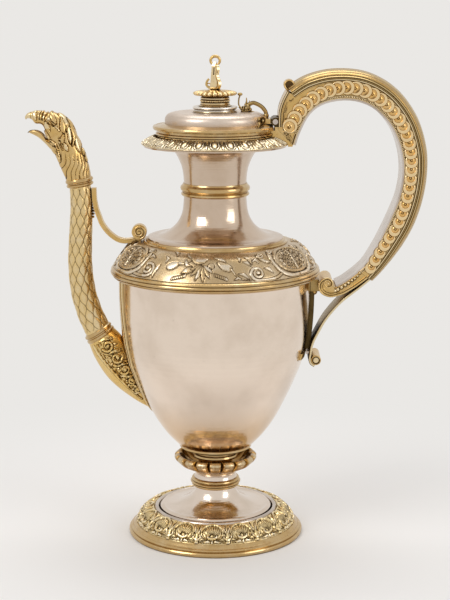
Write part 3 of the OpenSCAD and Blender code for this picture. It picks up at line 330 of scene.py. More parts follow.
def leaf(bm, line, widths, thick, side, cup, rib=0.3):
    """Leaf along a 3-D line in mm, side giving the direction of its width.

    Its middle stands up by cup times its half width, with a sunk rib along it.
    """
    line = np.asarray(line, float)
    side = np.asarray(side, float)
    up = np.cross(np.gradient(line, axis=0), side)
    up /= np.maximum(np.linalg.norm(up, axis=1), 1e-9)[:, None]
    rows = len(line) - 1

    def place(u, v):
        at = v * rows
        half = np.interp(at, np.linspace(0, rows, len(widths)), widths)
        across, over = np.cos(u * TURN), np.sin(u * TURN)
        crown = half * cup * (1 - across ** 2) - rib * thick * np.exp(-(across / 0.16) ** 2) * (over > 0)
        lift = crown + over * thick / 2 * np.sqrt(np.clip(1 - across ** 4, 0, 1))
        points = sampled(line, at) + (half * across)[:, None] * side + lift[:, None] * sampled(up, at)
        worn = 1 - 1.7 * np.abs(across) ** 6 - 1.2 * np.exp(-(across / 0.14) ** 2)
        return points, np.where(over > 0, 0.6 * worn, -0.6)

    mapped(16, rows, place, keep=bm)


# ---- materials -------------------------------------------------------------

def linear(colour):
    """Linear colour of an sRGB hex value."""
    parts = [int(colour[i:i + 2], 16) / 255 for i in (1, 3, 5)]
    return (*[c / 12.92 if c <= 0.04045 else ((c + 0.055) / 1.055) ** 2.4 for c in parts], 1)


def add(tree, kind, inputs=(), out=0, **settings):
    """Adds a node with its settings, sets or links its inputs by place or name, and gives one output."""
    made = tree.nodes.new("ShaderNode" + kind)
    for name, value in settings.items():
        setattr(made, name, value)
    for name, value in dict(inputs).items():
        if isinstance(value, bpy.types.NodeSocket):
            tree.links.new(value, made.inputs[name])
        else:
            made.inputs[name].default_value = value
    return made.outputs[out]


def per_mm(size):
    """Texture scale that gives a pattern of so many millimetres."""
    return 1 / (size * MM)


def metal(name):
    """A metal's material, tree, shader and object coordinates, with nothing on it yet."""
    material = bpy.data.materials.new(name)
    material.use_nodes = True
    tree = material.node_tree
    shader = tree.nodes["Principled BSDF"]
    shader.inputs["Metallic"].default_value = 1
    return material, tree, shader, add(tree, "TexCoord", out="Object")


SMOOTH = {"interpolation_type": "SMOOTHSTEP"}


def raised_silver(name, pale, shade, polish, painted_gilt_reflection=0.0):
    """Sterling silver sheet raised with hammers, planished and hand polished.

    It gives a warm pale mirror, softly wavy from the planishing hammer, with a few tiny pits and
    fine wiping scratches, and a faint brown bloom of tarnish.
    """
    material, tree, shader, place = metal(name)
    bloom = add(tree, "TexNoise", {"Vector": place, "Scale": per_mm(26), "Detail": 4})
    bloom = add(tree, "MapRange", {0: bloom, 1: 0.36, 2: 0.7}, **SMOOTH)
    tint = add(tree, "Mix", {0: bloom, 6: linear(pale), 7: linear(shade)}, 2, data_type="RGBA")
    if painted_gilt_reflection:  # painted reflection of the gilt knop: a warm golden tint, strongest at the foot of the body
        height = add(tree, "SeparateXYZ", {0: place}, "Z")
        share = add(tree, "MapRange", {0: height, 1: 66 * MM, 2: 112 * MM, 3: painted_gilt_reflection, 4: 0.0}, **SMOOTH)
        tint = add(tree, "Mix", {0: share, 6: tint, 7: linear("#d9b27c")}, 2, data_type="RGBA")
    # 0.35 mm pits, drawn as wide as they need to show, in one out of seven cells
    cells = {"Vector": place, "Scale": per_mm(7)}
    pit = add(tree, "TexVoronoi", cells)
    pit = add(tree, "MapRange", {0: pit, 1: 0.03, 2: 0.055, 3: 0.5, 4: 0.0}, **SMOOTH)
    pick = add(tree, "SeparateColor", {0: add(tree, "TexVoronoi", cells, "Color")})
    pick = add(tree, "MapRange", {0: pick, 1: 0.84, 2: 0.88})
    pit = add(tree, "Math", {0: pit, 1: pick}, operation="MULTIPLY")
    tint = add(tree, "Mix", {0: pit, 6: tint, 7: linear("#6e5f50")}, 2, data_type="RGBA")
    tree.links.new(tint, shader.inputs["Base Color"])
    wipe = add(tree, "TexNoise", {"Vector": place, "Scale": per_mm(3.5), "Detail": 6})
    wipe = add(tree, "MapRange", {0: wipe, 1: 0.3, 2: 0.75, 3: polish, 4: polish + 0.09}, **SMOOTH)
    tree.links.new(wipe, shader.inputs["Roughness"])
    facets = add(tree, "TexNoise", {"Vector": place, "Scale": per_mm(12), "Detail": 1})
    grain = add(tree, "TexNoise", {"Vector": place, "Scale": per_mm(0.7), "Detail": 2})
    wavy = add(tree, "Bump", {"Height": facets, "Distance": 0.12 * MM, "Strength": 0.5})
    fine = add(tree, "Bump", {"Height": grain, "Distance": 0.01 * MM, "Strength": 0.3, "Normal": wavy})
    tree.links.new(fine, shader.inputs["Normal"])
    return material


def gilded(name, gold, pale, deep, worn=0.5, polish=0.2, bite=0.02, crevice=1.6, wash="#38220b"):
    """Fire-gilt sterling silver, from its tones of gold.

    The gilding is deep where nothing touches it and pale where it is rubbed to the silver; the
    grooves are painted dark brown, partly for their wax and tarnish and partly as painted shade.
    The relief attribute of a piece says what is high and what is low, and the crevices of plain
    pieces are found by occlusion, from a distance of crevice millimetres, and darkened as painted
    shade. bite is the depth of the grain of the casting, in mm.
    """
    material, tree, shader, place = metal(name)
    relief = add(tree, "Attribute", out="Fac", attribute_name="relief")
    patches = {"Vector": place, "Scale": per_mm(14), "Detail": 5, "Roughness": 0.65}
    patches = add(tree, "TexNoise", patches)
    clouds = add(tree, "TexNoise", {"Vector": place, "Scale": per_mm(5), "Detail": 3})
    grain = add(tree, "TexNoise", {"Vector": place, "Scale": per_mm(0.9), "Detail": 3})
    hidden = add(tree, "AmbientOcclusion", {"Distance": crevice * MM}, "AO", samples=6)
    rubbed = add(tree, "MapRange", {0: patches, 1: 0.42, 2: 0.72, 3: 0.0, 4: 0.45 * worn}, **SMOOTH)
    warm = add(tree, "MapRange", {0: clouds, 1: 0.5, 2: 0.75, 3: 0.0, 4: 0.3}, **SMOOTH)
    high = add(tree, "MapRange", {0: relief, 1: 0.2, 2: 1.0, 3: 0.0, 4: 0.3 + 0.5 * worn}, **SMOOTH)
    # sunk relief and occluded crevices turn to the dark wash: partly wax and tarnish, partly painted shade
    low = add(tree, "MapRange", {0: relief, 1: -0.8, 2: -0.08, 3: 0.9, 4: 0.0}, **SMOOTH)
    painted_crevice_shade = add(tree, "MapRange", {0: hidden, 1: 0.25, 2: 0.8, 3: 0.7, 4: 0.0}, **SMOOTH)
    dark = add(tree, "Math", {0: low, 1: painted_crevice_shade}, operation="MAXIMUM")
    tint = linear(gold)
    for share, colour in ((rubbed, pale), (warm, deep), (high, pale), (dark, wash)):
        tint = add(tree, "Mix", {0: share, 6: tint, 7: linear(colour)}, 2, data_type="RGBA")
    tree.links.new(tint, shader.inputs["Base Color"])
    dull = add(tree, "MapRange", {0: grain, 1: 0.3, 2: 0.7, 3: polish, 4: polish + 0.12}, **SMOOTH)
    dull = add(tree, "Math", {0: dark, 1: 0.3, 2: dull}, operation="MULTIPLY_ADD")
    tree.links.new(dull, shader.inputs["Roughness"])
    punched = add(tree, "Bump", {"Height": grain, "Distance": bite * MM, "Strength": 0.5})
    tree.links.new(punched, shader.inputs["Normal"])
    return material


BODY = raised_silver("sterling_silver_polished_body", "#efdfcf", "#e3d2c1", polish=0.12, painted_gilt_reflection=0.75)
SILVER = raised_silver("sterling_silver_planished", "#e6d7c9", "#d9c9b8", polish=0.13)
# the neck's silver is a darker, warmer copy: painted reflection of the dark and gilt parts round the mouth
NECK = raised_silver("sterling_silver_neck_painted_reflection", "#d4c0ac", "#c6b099", polish=0.14)
DOME = raised_silver("sterling_silver_rubbed_dome", "#d8c9bb", "#c8b7a7", polish=0.34)
SHEET = raised_silver("sterling_silver_sheet", "#d6cbc1", "#bfb1a4", polish=0.2)
MOULDED = gilded("fire_gilt_silver_moulding", "#c6a774", "#e4d8bc", "#a98550",
                 worn=0.6, polish=0.14, bite=0.008)
CHASED = gilded("fire_gilt_silver_chased", "#e8cf98", "#f5ecd8", "#c8a464", worn=0.6, bite=0.03)
BAND = gilded("fire_gilt_silver_worn_band", "#bfa67f", "#e6dac6", "#a58a5c",
              worn=0.9, polish=0.24, bite=0.045)
BORDER = gilded("fire_gilt_silver_mouth_border", "#d6c4a0", "#ebe2cf", "#b89e70",
                worn=0.9, polish=0.22, bite=0.03)
CAST = gilded("fire_gilt_silver_cast", "#d2ae6c", "#f1e4c2", "#a87a3a")
DISC = gilded("fire_gilt_silver_discs", "#deb26c", "#f4e2b8", "#b4823c", worn=0.65, crevice=0.9)
HORN = gilded("fire_gilt_silver_horn", "#e2c07a", "#f4e6c0", "#c09850",
              worn=0.45, polish=0.22, crevice=0.8)
PETAL = gilded("fire_gilt_silver_petals", "#a87e3a", "#ecdfc0", "#8a6128", worn=0.6)
ENGRAVED = gilded("fire_gilt_silver_engraved", "#e0c48c", "#f0e6cc", "#c09c60",
                  worn=0.7, polish=0.26, crevice=0.8)
TAIL_GILT = gilded("fire_gilt_silver_tail", "#cfb684", "#efe2c0", "#ad8c50", wash="#241f1c")
PLINTH = gilded("sterling_silver_plinth_worn_gilding", "#ddd3c6", "#f0ebe2", "#c9b693", worn=0.6)
TARNISHED = gilded("gilding_dark_with_tarnish", "#574628", "#8d7746", "#2e2412", worn=0.3, polish=0.3)
DULLED = gilded("gilding_dulled_by_handling", "#a68a55", "#d2bf94", "#6f5730", worn=0.4, polish=0.28)
STRAP = gilded("fire_gilt_silver_handle_strap", "#bc9a60", "#cebb8c", "#9b753e", worn=0.4, bite=0.008)




# ---- cover: finial, thumbpiece and hinge plates ------------------------------

SCROLL = smooth([[0.8, 326.8], [4, 327.1], [6.1, 329.2], [5.5, 332.0], [3.5, 334.2], [3.1, 336.8],
                 [3.9, 339.6], [3.4, 341.8], [1.4, 343.4]], 8)


def add_bracket(bm, line, angle):
    """Strip bent along a line of (radius, height), turned to an angle about the axis."""
    rows, half_thick, half_wide = 59, 0.8, 1.2
    edges = [spread(shifted(line, by), rows + 1) for by in (-half_thick, half_thick)]
    way = math.radians(angle)
    # corners of the section: share from the first edge to the second, side, tone
    section = [(0, -1, 0.9), (0, 0, 0.8), (0, 1, 0.9), (0.5, 1.05, -0.3), (1, 1, -0.2), (1, 0, -0.8),
               (1, -1, -0.2), (0.5, -1.05, -0.3), (0, -1, 0.9)]

    def place(u, v):
        share, side, tint = sampled(section, u * (len(section) - 1)).T
        first, second = (sampled(edge, v * rows).T for edge in edges)
        radius, height = first + (second - first) * share
        width = half_wide * side * np.interp(v, [0, 0.12, 0.5, 0.85, 1], [0.6, 1, 0.75, 0.9, 0.5])
        return np.stack([radius * math.cos(way) - width * math.sin(way),
                         radius * math.sin(way) + width * math.cos(way), height], axis=1), tint

    mapped(len(section) - 1, rows, place, keep=bm)


def add_shaft(bm):
    """Slotted shaft of the finial, turned so that one face looks forward and to the left."""
    rows, low, high, half_deep, half_wide = 60, 325.9, 345.3, 1.9, 2.1
    turn = math.radians(-108)
    ahead = np.array([math.cos(turn), math.sin(turn), 0])
    side = np.array([-math.sin(turn), math.cos(turn), 0])
    # corners of the section: forward, across, tone; the slot is in the forward face
    section = [(-1, -1, -1), (-1, 1, 0), (-0.2, 1.02, -1), (1, 1, 0.9), (1.02, 0.2, 0.9), (0.7, 0.12, -1),
               (0.7, -0.12, -1), (1.02, -0.2, 0.9), (1, -1, 0.9), (-0.2, -1.02, -0.4), (-1, -1, -1)]

    def place(u, v):
        out, across, tint = sampled(section, u * (len(section) - 1)).T
        slot = ramp(v, 0.5, 0.54) * (1 - ramp(v, 0.78, 0.82))
        sunk = (np.abs(across) < 0.15) * (out > 0)
        out = np.where(sunk, 1.02 + (out - 1.02) * slot, out)
        tint = np.where(sunk, 0.8 + (tint - 0.8) * slot, tint)
        size = np.interp(v, [0, 0.1, 0.85, 1], [1.25, 1.1, 0.85, 0.3])
        points = (out * half_deep * size)[:, None] * ahead
        points = points + (across * half_wide * size - 0.9 * (1 - v))[:, None] * side
        points[:, 2] = low + (high - low) * v
        return points, tint

    mapped(len(section) - 1, rows, place, keep=bm)


def make_finial():
    """Three scroll brackets round a slotted shaft, under an open loop; the left one is low."""
    bm = bmesh.new()
    low_curl = (spiral((4.2, 328.9), 1.9, 0.5, 1.1, -60), 0.5)
    high_curls = [([(3.9, 338.4), (4.9, 338.6), (5.2, 337.2)], 0.6),
                  ([(4.7, 332.6), (6.4, 333), (6.7, 331.6)], 0.55)]
    for angle, line, curls in ((180, SCROLL[:30], [low_curl]), (-60, SCROLL, [low_curl, *high_curls]),
                               (60, SCROLL, [low_curl, *high_curls])):
        add_bracket(bm, line, angle)
        way = math.radians(angle)
        for curl, radius in curls:
            path = [(r * math.cos(way), r * math.sin(way), z) for r, z in curl]
            wire(bm, path, radius, count=8, end=0.4, tint=0.7)
    add_shaft(bm)
    ball(bm, (0, 0, 326.6), (3.9, 3.9, 1.1), 0.2, 24)
    # open loop, a little thicker at its crown
    arch = [(3.25 * math.cos(a) + 0.15, 0, 346.15 + 3.1 * math.sin(a))
            for a in np.radians(np.arange(-52, 236, 9))]
    crown = len(arch) // 2
    for half in (arch[crown:], arch[:crown + 1][::-1]):
        wire(bm, half, 1.15, count=12, end=0.75, tint=0.6)
    finish_mesh("finial_scroll_bundle", bm, CAST, "cover", ["finial_scrolls"])


def make_thumbpiece():
    """Thumbpiece cast as a small winged beast that arches back to the hinge."""
    bm = bmesh.new()
    tail = smooth([[22.6, 314.6], [24.6, 315.7], [27.6, 316.5], [32.6, 314.1], [35.6, 310.6],
                   [36.4, 307.6]], 6)
    wire(bm, tail, 1.5, count=14, flat=0.9, end=0.95, tint=0.7)
    for y in (-0.75, 0.75):  # two dark flutes down the arched back
        wire(bm, shifted(tail, 1.1), 0.3, y, 6, tint=-1.4)
    for x, z, size, tint in ((23.2, 313.6, 2.1, 0.7), (20.6, 312.9, 1.75, 0.8), (18.6, 312.7, 1.25, 0.9),
                             (22.2, 310.9, 1.5, 0.5), (24.8, 311.8, 1.4, 0.5)):
        ball(bm, (x, 0, z), (size, 1.1 * size, size), tint, 16)
    for side in SIDES:  # eyes, cheeks, curls of the wings and the dark lines between them
        ball(bm, (19.6, side * 1.5, 313.6), (0.6, 0.5, 0.6), -1.2, 8)
        ball(bm, (22.0, side * 2.0, 313.0), (0.9, 0.6, 0.9), 1.0, 10)
        wire(bm, spiral((23.4, 312.4), 1.9, 0.5, 1.2, 120, -1), 0.4, side * 2.0, 8, end=0.5, tint=0.9)
        wire(bm, spiral((20.4, 311.6), 1.3, 0.4, 1.1, 30, -1), 0.35, side * 1.7, 8, end=0.5, tint=0.9)
        wire(bm, [(20.9, 314.6), (20.6, 311.4)], 0.35, side * 1.9, 6, tint=-1.6)
        wire(bm, [(24.4, 315.2), (24.6, 311.4)], 0.35, side * 1.6, 6, tint=-1.6)
    # two ears, then the rod under the ball, then the thin strand that lies on the cover
    wire(bm, smooth([(21.4, 314.8), (22.3, 317), (22.2, 320.2)]), 1.0, count=10, end=0.25, tint=0.6)
    wire(bm, smooth([(23, 315.2), (24.2, 316.8), (24.4, 318.3)]), 0.7, count=8, end=0.25, tint=0.4)
    rod = smooth([(18.6, 312.2), (17.1, 314.6), (16.7, 316.2), (16.9, 319.5), (17.8, 322)], 6)
    wire(bm, rod, 0.55, count=10, tint=0.3)
    ball(bm, (17.7, 0, 322.6), (1.8, 1.6, 1.2), 0.5, 16)
    strand = smooth([(16.9, 313.6), (19, 311.6), (21.6, 310.8), (24.4, 310.7), (28, 309.7), (32, 307.6),
                     (35, 305.6)], 6)
    wire(bm, strand, 0.5, count=8, tint=-0.3)
    for x, z in ((19.2, 310.7), (21.4, 310.4)):
        ball(bm, (x, 0, z), (1.1, 1.2, 0.7), 0.3, 10)
    # lug on the hinge block
    ball(bm, (36.3, 0, 307.4), (1.9, 1.6, 2.4), 0.4, 14)
    finish_mesh("thumbpiece_beast", bm, DULLED, "cover", ["thumbpiece"])


def make_hinge_leaves():
    """Leaves with a ringed boss at the ends of the hinge strap."""
    bm = bmesh.new()
    for side in SIDES:
        turn = math.radians(side * 27)
        out = np.array([math.cos(turn), math.sin(turn), 0])
        along = np.array([-math.sin(turn), math.cos(turn), 0]) * side
        root = 36.9 * out + [0, 0, 305.3]
        path = [root + along * (t - 4.6) + out * (0.35 - 0.012 * t * t) for t in np.linspace(0, 9.4, 12)]
        leaf(bm, path, [1.2, 2.3, 2.6, 2.2, 0.9, 0.2], thick=0.7, side=(0, 0, 1), cup=0.2, rib=0.4)
        ball(bm, root + 0.7 * out, 0.95, 1.0)
        ring = [root + 0.75 * out + 1.3 * (math.cos(a) * along + [0, 0, math.sin(a)])
                for a in np.linspace(0, TURN, 20)]
        wire(bm, ring, 0.28, count=6, tint=-1.4)
    finish_mesh("hinge_strap_leaves", bm, DULLED, "cover")


def make_drum():
    """Drum of the finial, and the silver plinth under it with its gilt wire."""
    steps = 180
    # radius, height and tone down the outside of each
    drum = [(0.001, 314.4, 0), (11.4, 314.4, 0), (11.5, 314.8, 0.9), (11.2, 315.1, 0.8), (10.6, 315.3, -1),
            (10.45, 315.6, -0.6), (10.5, 316, 0.5), (10.5, 316.8, 0.7), (10.2, 317, -0.9), (9.9, 317.2, -1),
            (9.9, 319.1, -1), (10.2, 319.3, -0.8), (10.4, 319.5, 0.6), (10.4, 320.2, 0.8),
            (10, 320.5, -0.8), (9.7, 320.9, -1), (9.7, 321.6, -1), (0.001, 321.6, -1)]
    plinth = [(0.001, 310.2, 0), (15.4, 310.2, -0.6), (15.3, 311, -0.9), (14.8, 311.3, 0.3),
              (14.7, 311.9, 0), (15.1, 312.4, -0.9), (15.6, 312.7, -0.3), (16, 313.2, 0.7),
              (15.9, 313.8, 1), (15.4, 314.3, 0.8), (14.6, 314.4, 0.2), (12.6, 314.2, 0.3),
              (11.8, 314.3, -0.9), (0.001, 314.35, 0)]
    for name, rows, material, node in (("finial_drum_turned", drum, MOULDED, "finial_drum"),
                                       ("cover_plinth_turned", plinth, PLINTH, "cover_plinth")):
        radii, heights, tones = np.array(rows).T

        def shape(points):
            far = radial(points)[1]
            gap = np.hypot(far[:, None] - radii, points[:, 2:] - heights)
            return np.zeros(len(points)), tones[gap.argmin(1)]

        bm = sculpt(turned([row[:2] for row in rows], steps), shape)
        finish_mesh(name, bm, material, "cover", [node])

    radius, height, thick = 15.4, 310.7, 0.4

    def place(u, v):
        far = radius + thick * np.cos(v * TURN)
        points = [far * np.cos(u * TURN), far * np.sin(u * TURN), height + thick * np.sin(v * TURN)]
        return np.stack(points, axis=1), np.full(len(u), 0.7)

    finish_mesh("cover_plinth_wire", mapped(steps, 8, place, caps=False), MOULDED, "cover")


make_drum()
make_finial()
make_thumbpiece()
make_hinge_leaves()


# ---- handle ----------------------------------------------------------------

OUTER = smooth([[54.6, 323], [66.4, 330.3], [83.8, 334.3], [104.9, 332.5], [123.2, 322.6], [136.7, 305.7],
                [143.7, 286.1], [145, 269], [142.5, 250], [136.5, 231.5], [127, 214.5], [117.5, 200.5],
                [110.5, 192]], 10)
INSIDE = smooth([[55.6, 288], [59, 297.9], [65.9, 310.5], [77, 318.1], [94.5, 320.4], [110.7, 315.4],
                 [123.6, 302.8], [130.9, 287.3], [133.7, 270.4], [131.8, 253], [126, 237], [117.5, 218.5],
                 [108.8, 203.5], [103, 197.2]], 10)
FRONT = smooth([[50.4, 325.4], [47, 318.6], [45, 312], [44.6, 306], [44.6, 300.6]], 6)
DISC_LINE = smooth([[52.7, 301.4], [59.6, 312.2], [70, 321.6], [83.2, 327.2], [96.8, 327.9], [109.8, 323.7],
                    [120.3, 316.2], [129.2, 306], [135.2, 294], [138.3, 280.2], [138.4, 267.2], [136.9, 254],
                    [133.3, 240.5], [129.3, 230.4], [123.8, 221.4], [118.6, 213.1], [111, 200.1]], 8)
CHEEK_Y = 13.25
DISCS = 34
BEADS = 170
TOP_ROLL = (52.3, 329.4)
TAIL_ROLL = (72.9, 131.9)


def make_outer_strap():
    """Convex outer strap, drawn with a roll along each edge and a shallow bead down its crown."""
    # across the strap, height over its line and tone
    top = mirrored([(14.15, 0, -0.2), (14.2, 0.35, 0.2), (13.75, 0.55, -1), (13.8, 0.8, -1),
                    (14.25, 1.0, 0.8), (14.3, 1.45, 1), (13.9, 1.8, 0.6), (13.3, 1.95, -0.9),
                    (13.2, 2.25, -0.8), (13.1, 2.6, 0.1), (11.6, 3.6, 0.1), (9.9, 4.35, 0.15),
                    (9.3, 4.42, -0.6), (8.9, 4.75, 0.7), (7.2, 5.45, 0.8), (5.2, 5.95, 0.8),
                    (3.1, 6.2, 0.7), (2.4, 6.05, -0.6), (1.6, 6.35, 0.5), (0.8, 6.47, 0.4), (0, 6.5, 0.3)])
    base = mirrored([(13.4, 0, 0), (13.4, 1.1, 0), (9.6, 3.3, 0), (4.8, 4.6, 0), (0, 5.0, 0)])

    def shape(v, y, height, tint):  # the crown falls towards the split
        return height * np.interp(v, [0, 0.86, 1], [1, 1, 0.68]), y, tint

    bm = rail(top + base[::-1] + top[:1], spread(OUTER, 150), shape)
    finish_mesh("handle_crown_strap", bm, STRAP, replaces=["handle_outer_strap"], crease=50)


def make_discs():
    """Rows of coin-like discs, each tipped up towards the tail over the next, with a ringed boss.

    The hollow and the boss of each disc sit towards the front, so that its rim is a crescent.
    """
    bm = bmesh.new()
    line = spread(DISC_LINE, DISCS)
    along = np.gradient(line, axis=0)
    along /= np.linalg.norm(along, axis=1)[:, None]
    for k, (centre, way) in enumerate(zip(line, along)):
        rim = 5.4 - 1.2 * k / (DISCS - 1)
        # radius, lift, tone and how far the ring is moved to the front
        profile = np.array([
            (0, 0.1, 0.3, 0.8), (0.45, 0.05, 0.1, 0.8), (0.65, -0.1, -1, 0.8), (0.95, -0.1, -1, 0.8),
            (1.15, 0.15, 0.2, 0.8), (1.4, 0, 0, 0.8), (1.6, -0.15, 0, 0.8), (1.95, -0.3, -0.1, 0.8),
            (0.6 * rim, -0.32, 0.05, 0.8), (rim - 1.95, -0.3, 0, 0.8), (rim - 1.75, -0.25, -0.6, 0.8),
            (rim - 1.5, 0.3, 0.9, 0.8), (rim - 0.9, 0.5, 0.9, 0.5), (rim - 0.3, 0.42, 1, 0),
            (rim - 0.08, 0.1, -0.3, 0), (rim, -0.1, -1, 0), (rim, -0.9, -1, 0)])
        profile[:, 3] *= 0.9 + 0.8 * k / DISCS
        shade = 0.8 * math.exp(-((k - 9) / 6) ** 2)  # painted dark reflection in the hollows over the top of the bow
        for side in SIDES:
            def place(u, v):
                radius, lift, tint, back = sampled(profile, v * (len(profile) - 1)).T
                ahead, across = radius * np.cos(u * TURN) - back, radius * np.sin(u * TURN)
                lift = lift + 0.72 + 0.62 * ahead / rim
                hollow = (radius < rim - 1.8) * (radius > 1.7)
                tint = tint - shade * ramp((0.8 * ahead - 0.6 * across) / rim, 0.1, 0.55) * hollow
                return np.stack([centre[0] + way[0] * ahead - way[1] * across,
                                 side * (CHEEK_Y + np.maximum(lift, -0.1)),
                                 centre[1] + way[1] * ahead + way[0] * across], axis=1), tint

            mapped(28, len(profile) - 1, place, keep=bm)
    finish_mesh("handle_disc_rows", bm, DISC, replaces=["handle_discs"], crease=35)


def moulding(bm, line, profile, side):
    """Strip soldered on a cheek: profile rows of (distance to the left of the line, height, tone)."""
    rows = [(profile[0][0], -0.3, -1), *profile, (profile[-1][0], -0.3, -1)]
    rail(rows, line, lambda v, out, high, tint: (out, side * (CHEEK_Y + high), tint), bm)


EDGE_PROFILE = [(0, 0.1, -0.9), (-0.25, 0.1, -0.9), (-0.45, 0.5, 0.8), (-0.8, 0.6, 1), (-1.15, 0.45, 0.6),
                (-1.35, 0.05, -1), (-1.7, 0.05, -1), (-1.9, 0.35, 0.5), (-2.25, 0.35, 0.3), (-2.5, 0, -0.8)]
INNER_PROFILE = [(0, 0.15, 0.2), (0.2, 0.45, 0.7), (0.65, 0.5, 1), (0.95, 0.1, -1), (1.55, 0.1, -1),
                 (1.8, 0.35, 0.8), (2.1, 0.35, 0.6), (2.35, 0, -0.9)]


def make_cheek_mouldings():
    """Strips and beads soldered along the edges of the cheeks, and scrollwork at their front ends."""
    bm = bmesh.new()
    beads = spread(shifted(INSIDE, 1.25)[8:], BEADS)
    # leaves and curls between the first disc and the mouth, on a sunk ground
    curls = [(spiral((49.6, 296.2), 2.0, 0.4, 1.4, 20), 0.4),
             (spiral((51.8, 293.2), 1.4, 0.3, 1.3, 160, -1), 0.35),
             (smooth([(48.2, 301.6), (48.6, 306), (49.2, 312), (51.2, 318)]), 0.35),
             (smooth([(48.6, 309), (50.2, 311.6), (50.9, 315)]), 0.45),
             (smooth([(51.8, 318.6), (53.6, 318.4), (55.6, 320.4)]), 0.4),
             (smooth([(48.4, 303.4), (49.4, 305.4), (51.2, 306.4)]), 0.45),
             (smooth([(53.6, 290.6), (52, 296), (48, 299.4)]), 0.35)]
    for side in SIDES:
        moulding(bm, spread(OUTER, 150), EDGE_PROFILE, side)
        moulding(bm, spread(INSIDE, 150), INNER_PROFILE, side)
        moulding(bm, spread(FRONT, 40), [(-x, h, t) for x, h, t in EDGE_PROFILE][::-1], side)
        for x, z in beads:
            ball(bm, (x, side * (CHEEK_Y + 0.1), z), 0.42, 1.0, 6)
        for line, radius in curls:
            wire(bm, line, radius, side * (CHEEK_Y + 0.15), 6, end=0.4, tint=0.9)
            wire(bm, shifted(line, 0.7), 0.45, side * (CHEEK_Y - 0.05), 6, end=0.5, tint=-1.8)
        # open end of the roll on top of the handle: a gilt ring round a flat dark disc, painted shade inside
        # the hollow roll
        wire(bm, circle(TOP_ROLL, 3.2, 28), 0.6, side * 4.9, 8, tint=0.5)
        ball(bm, (TOP_ROLL[0], side * 4.95, TOP_ROLL[1]), (2.6, 0.35, 2.6), -1.7, 20)
    finish_mesh("handle_cheek_mouldings", bm, CAST)


BRANCH = smooth([[109.2, 192.5], [104.4, 188.8], [98.4, 184.6], [91.8, 180.9], [87.4, 179.6]], 6)
BRANCH_TOP = smooth([[103, 197.2], [97.4, 192.6], [91.6, 188.5], [87.6, 186.6]], 6)
COIL = smooth([[87.4, 179.6], [82.5, 178.9], [78.2, 180.1], [75.4, 182.3], [73.9, 185.7], [74.3, 189.2],
               [76.4, 191.7], [78.9, 193], [81.7, 192.9], [83.9, 191.1], [84.7, 188.2], [83.4, 186],
               [80.8, 185.4], [78.4, 187], [77.6, 189.4], [78.9, 191.2], [81, 191.5], [82.6, 190],
               [82.4, 188.3], [81, 187.8]], 6)
PEARLS = [(103.6, 196.3), (101.8, 194.2), (99.9, 192.3), (98.0, 191.0), (95.5, 189.1), (93.2, 187.5),
          (90.5, 185.9), (87.9, 184.4), (85.9, 183.4)]


def make_lower_branch():
    """Branch with its coil against the shoulder: fillets, a row of growing pearls, ribs in the coil."""
    bm = bmesh.new()
    # line, how far to its left, radius, place across the handle, facets, end and tone
    fillets = [(BRANCH, -0.6, 0.7, CHEEK_Y, 8, 1, 0.9), (BRANCH, -1.6, 0.55, CHEEK_Y, 8, 1, -1.7),
               (COIL, -0.6, 0.75, 14.05, 10, 0.8, 1.0), (COIL[:74], -1.6, 0.55, 14.05, 8, 1, -1.7),
               (COIL[:44], -2.3, 0.4, 14.1, 8, 0.6, 0.7), (COIL[:40], -3.1, 0.45, 14.05, 8, 0.6, -1.7),
               (COIL[6:34], -3.8, 0.4, 14.1, 8, 0.5, 0.6), (BRANCH_TOP, 0.7, 0.5, CHEEK_Y, 8, 1, 0.9),
               (BRANCH_TOP, 1.5, 0.5, CHEEK_Y, 8, 1, -1.7)]
    for side in SIDES:
        for line, by, radius, y, count, end, tint in fillets:
            wire(bm, shifted(line, by), radius, side * y, count, end=end, tint=tint)
        ball(bm, (80.9, side * 14.1, 188.9), (0.9, 0.6, 0.9))
        for k, (x, z) in enumerate(PEARLS):
            size = 0.75 + 0.7 * k / len(PEARLS)
            ball(bm, (x, side * CHEEK_Y, z), (size, 0.9 * size, size), 1.0, 10)
            wire(bm, circle((x, z), size + 0.25, 16, 60), 0.42, side * (CHEEK_Y + 0.1), 6, tint=-1.7)
    finish_mesh("handle_volute_fillets", bm, CAST)
    # rounded drop under the block on the shoulder
    bm = bmesh.new()
    ball(bm, (71.9, 0, 180.9), (2.3, 4.6, 2.9), 0.3, 20)
    finish_mesh("handle_block_drop", bm, CAST)


TAIL = smooth([[111.4, 190.7], [104.2, 184.6], [97.6, 179.5], [91, 174], [84.6, 167], [79.2, 159.6],
               [75, 151.8], [71.7, 145], [70.2, 139.7], [69.8, 136], [69.3, 132.6], [70.1, 129.7],
               [72.3, 128.3]], 8)


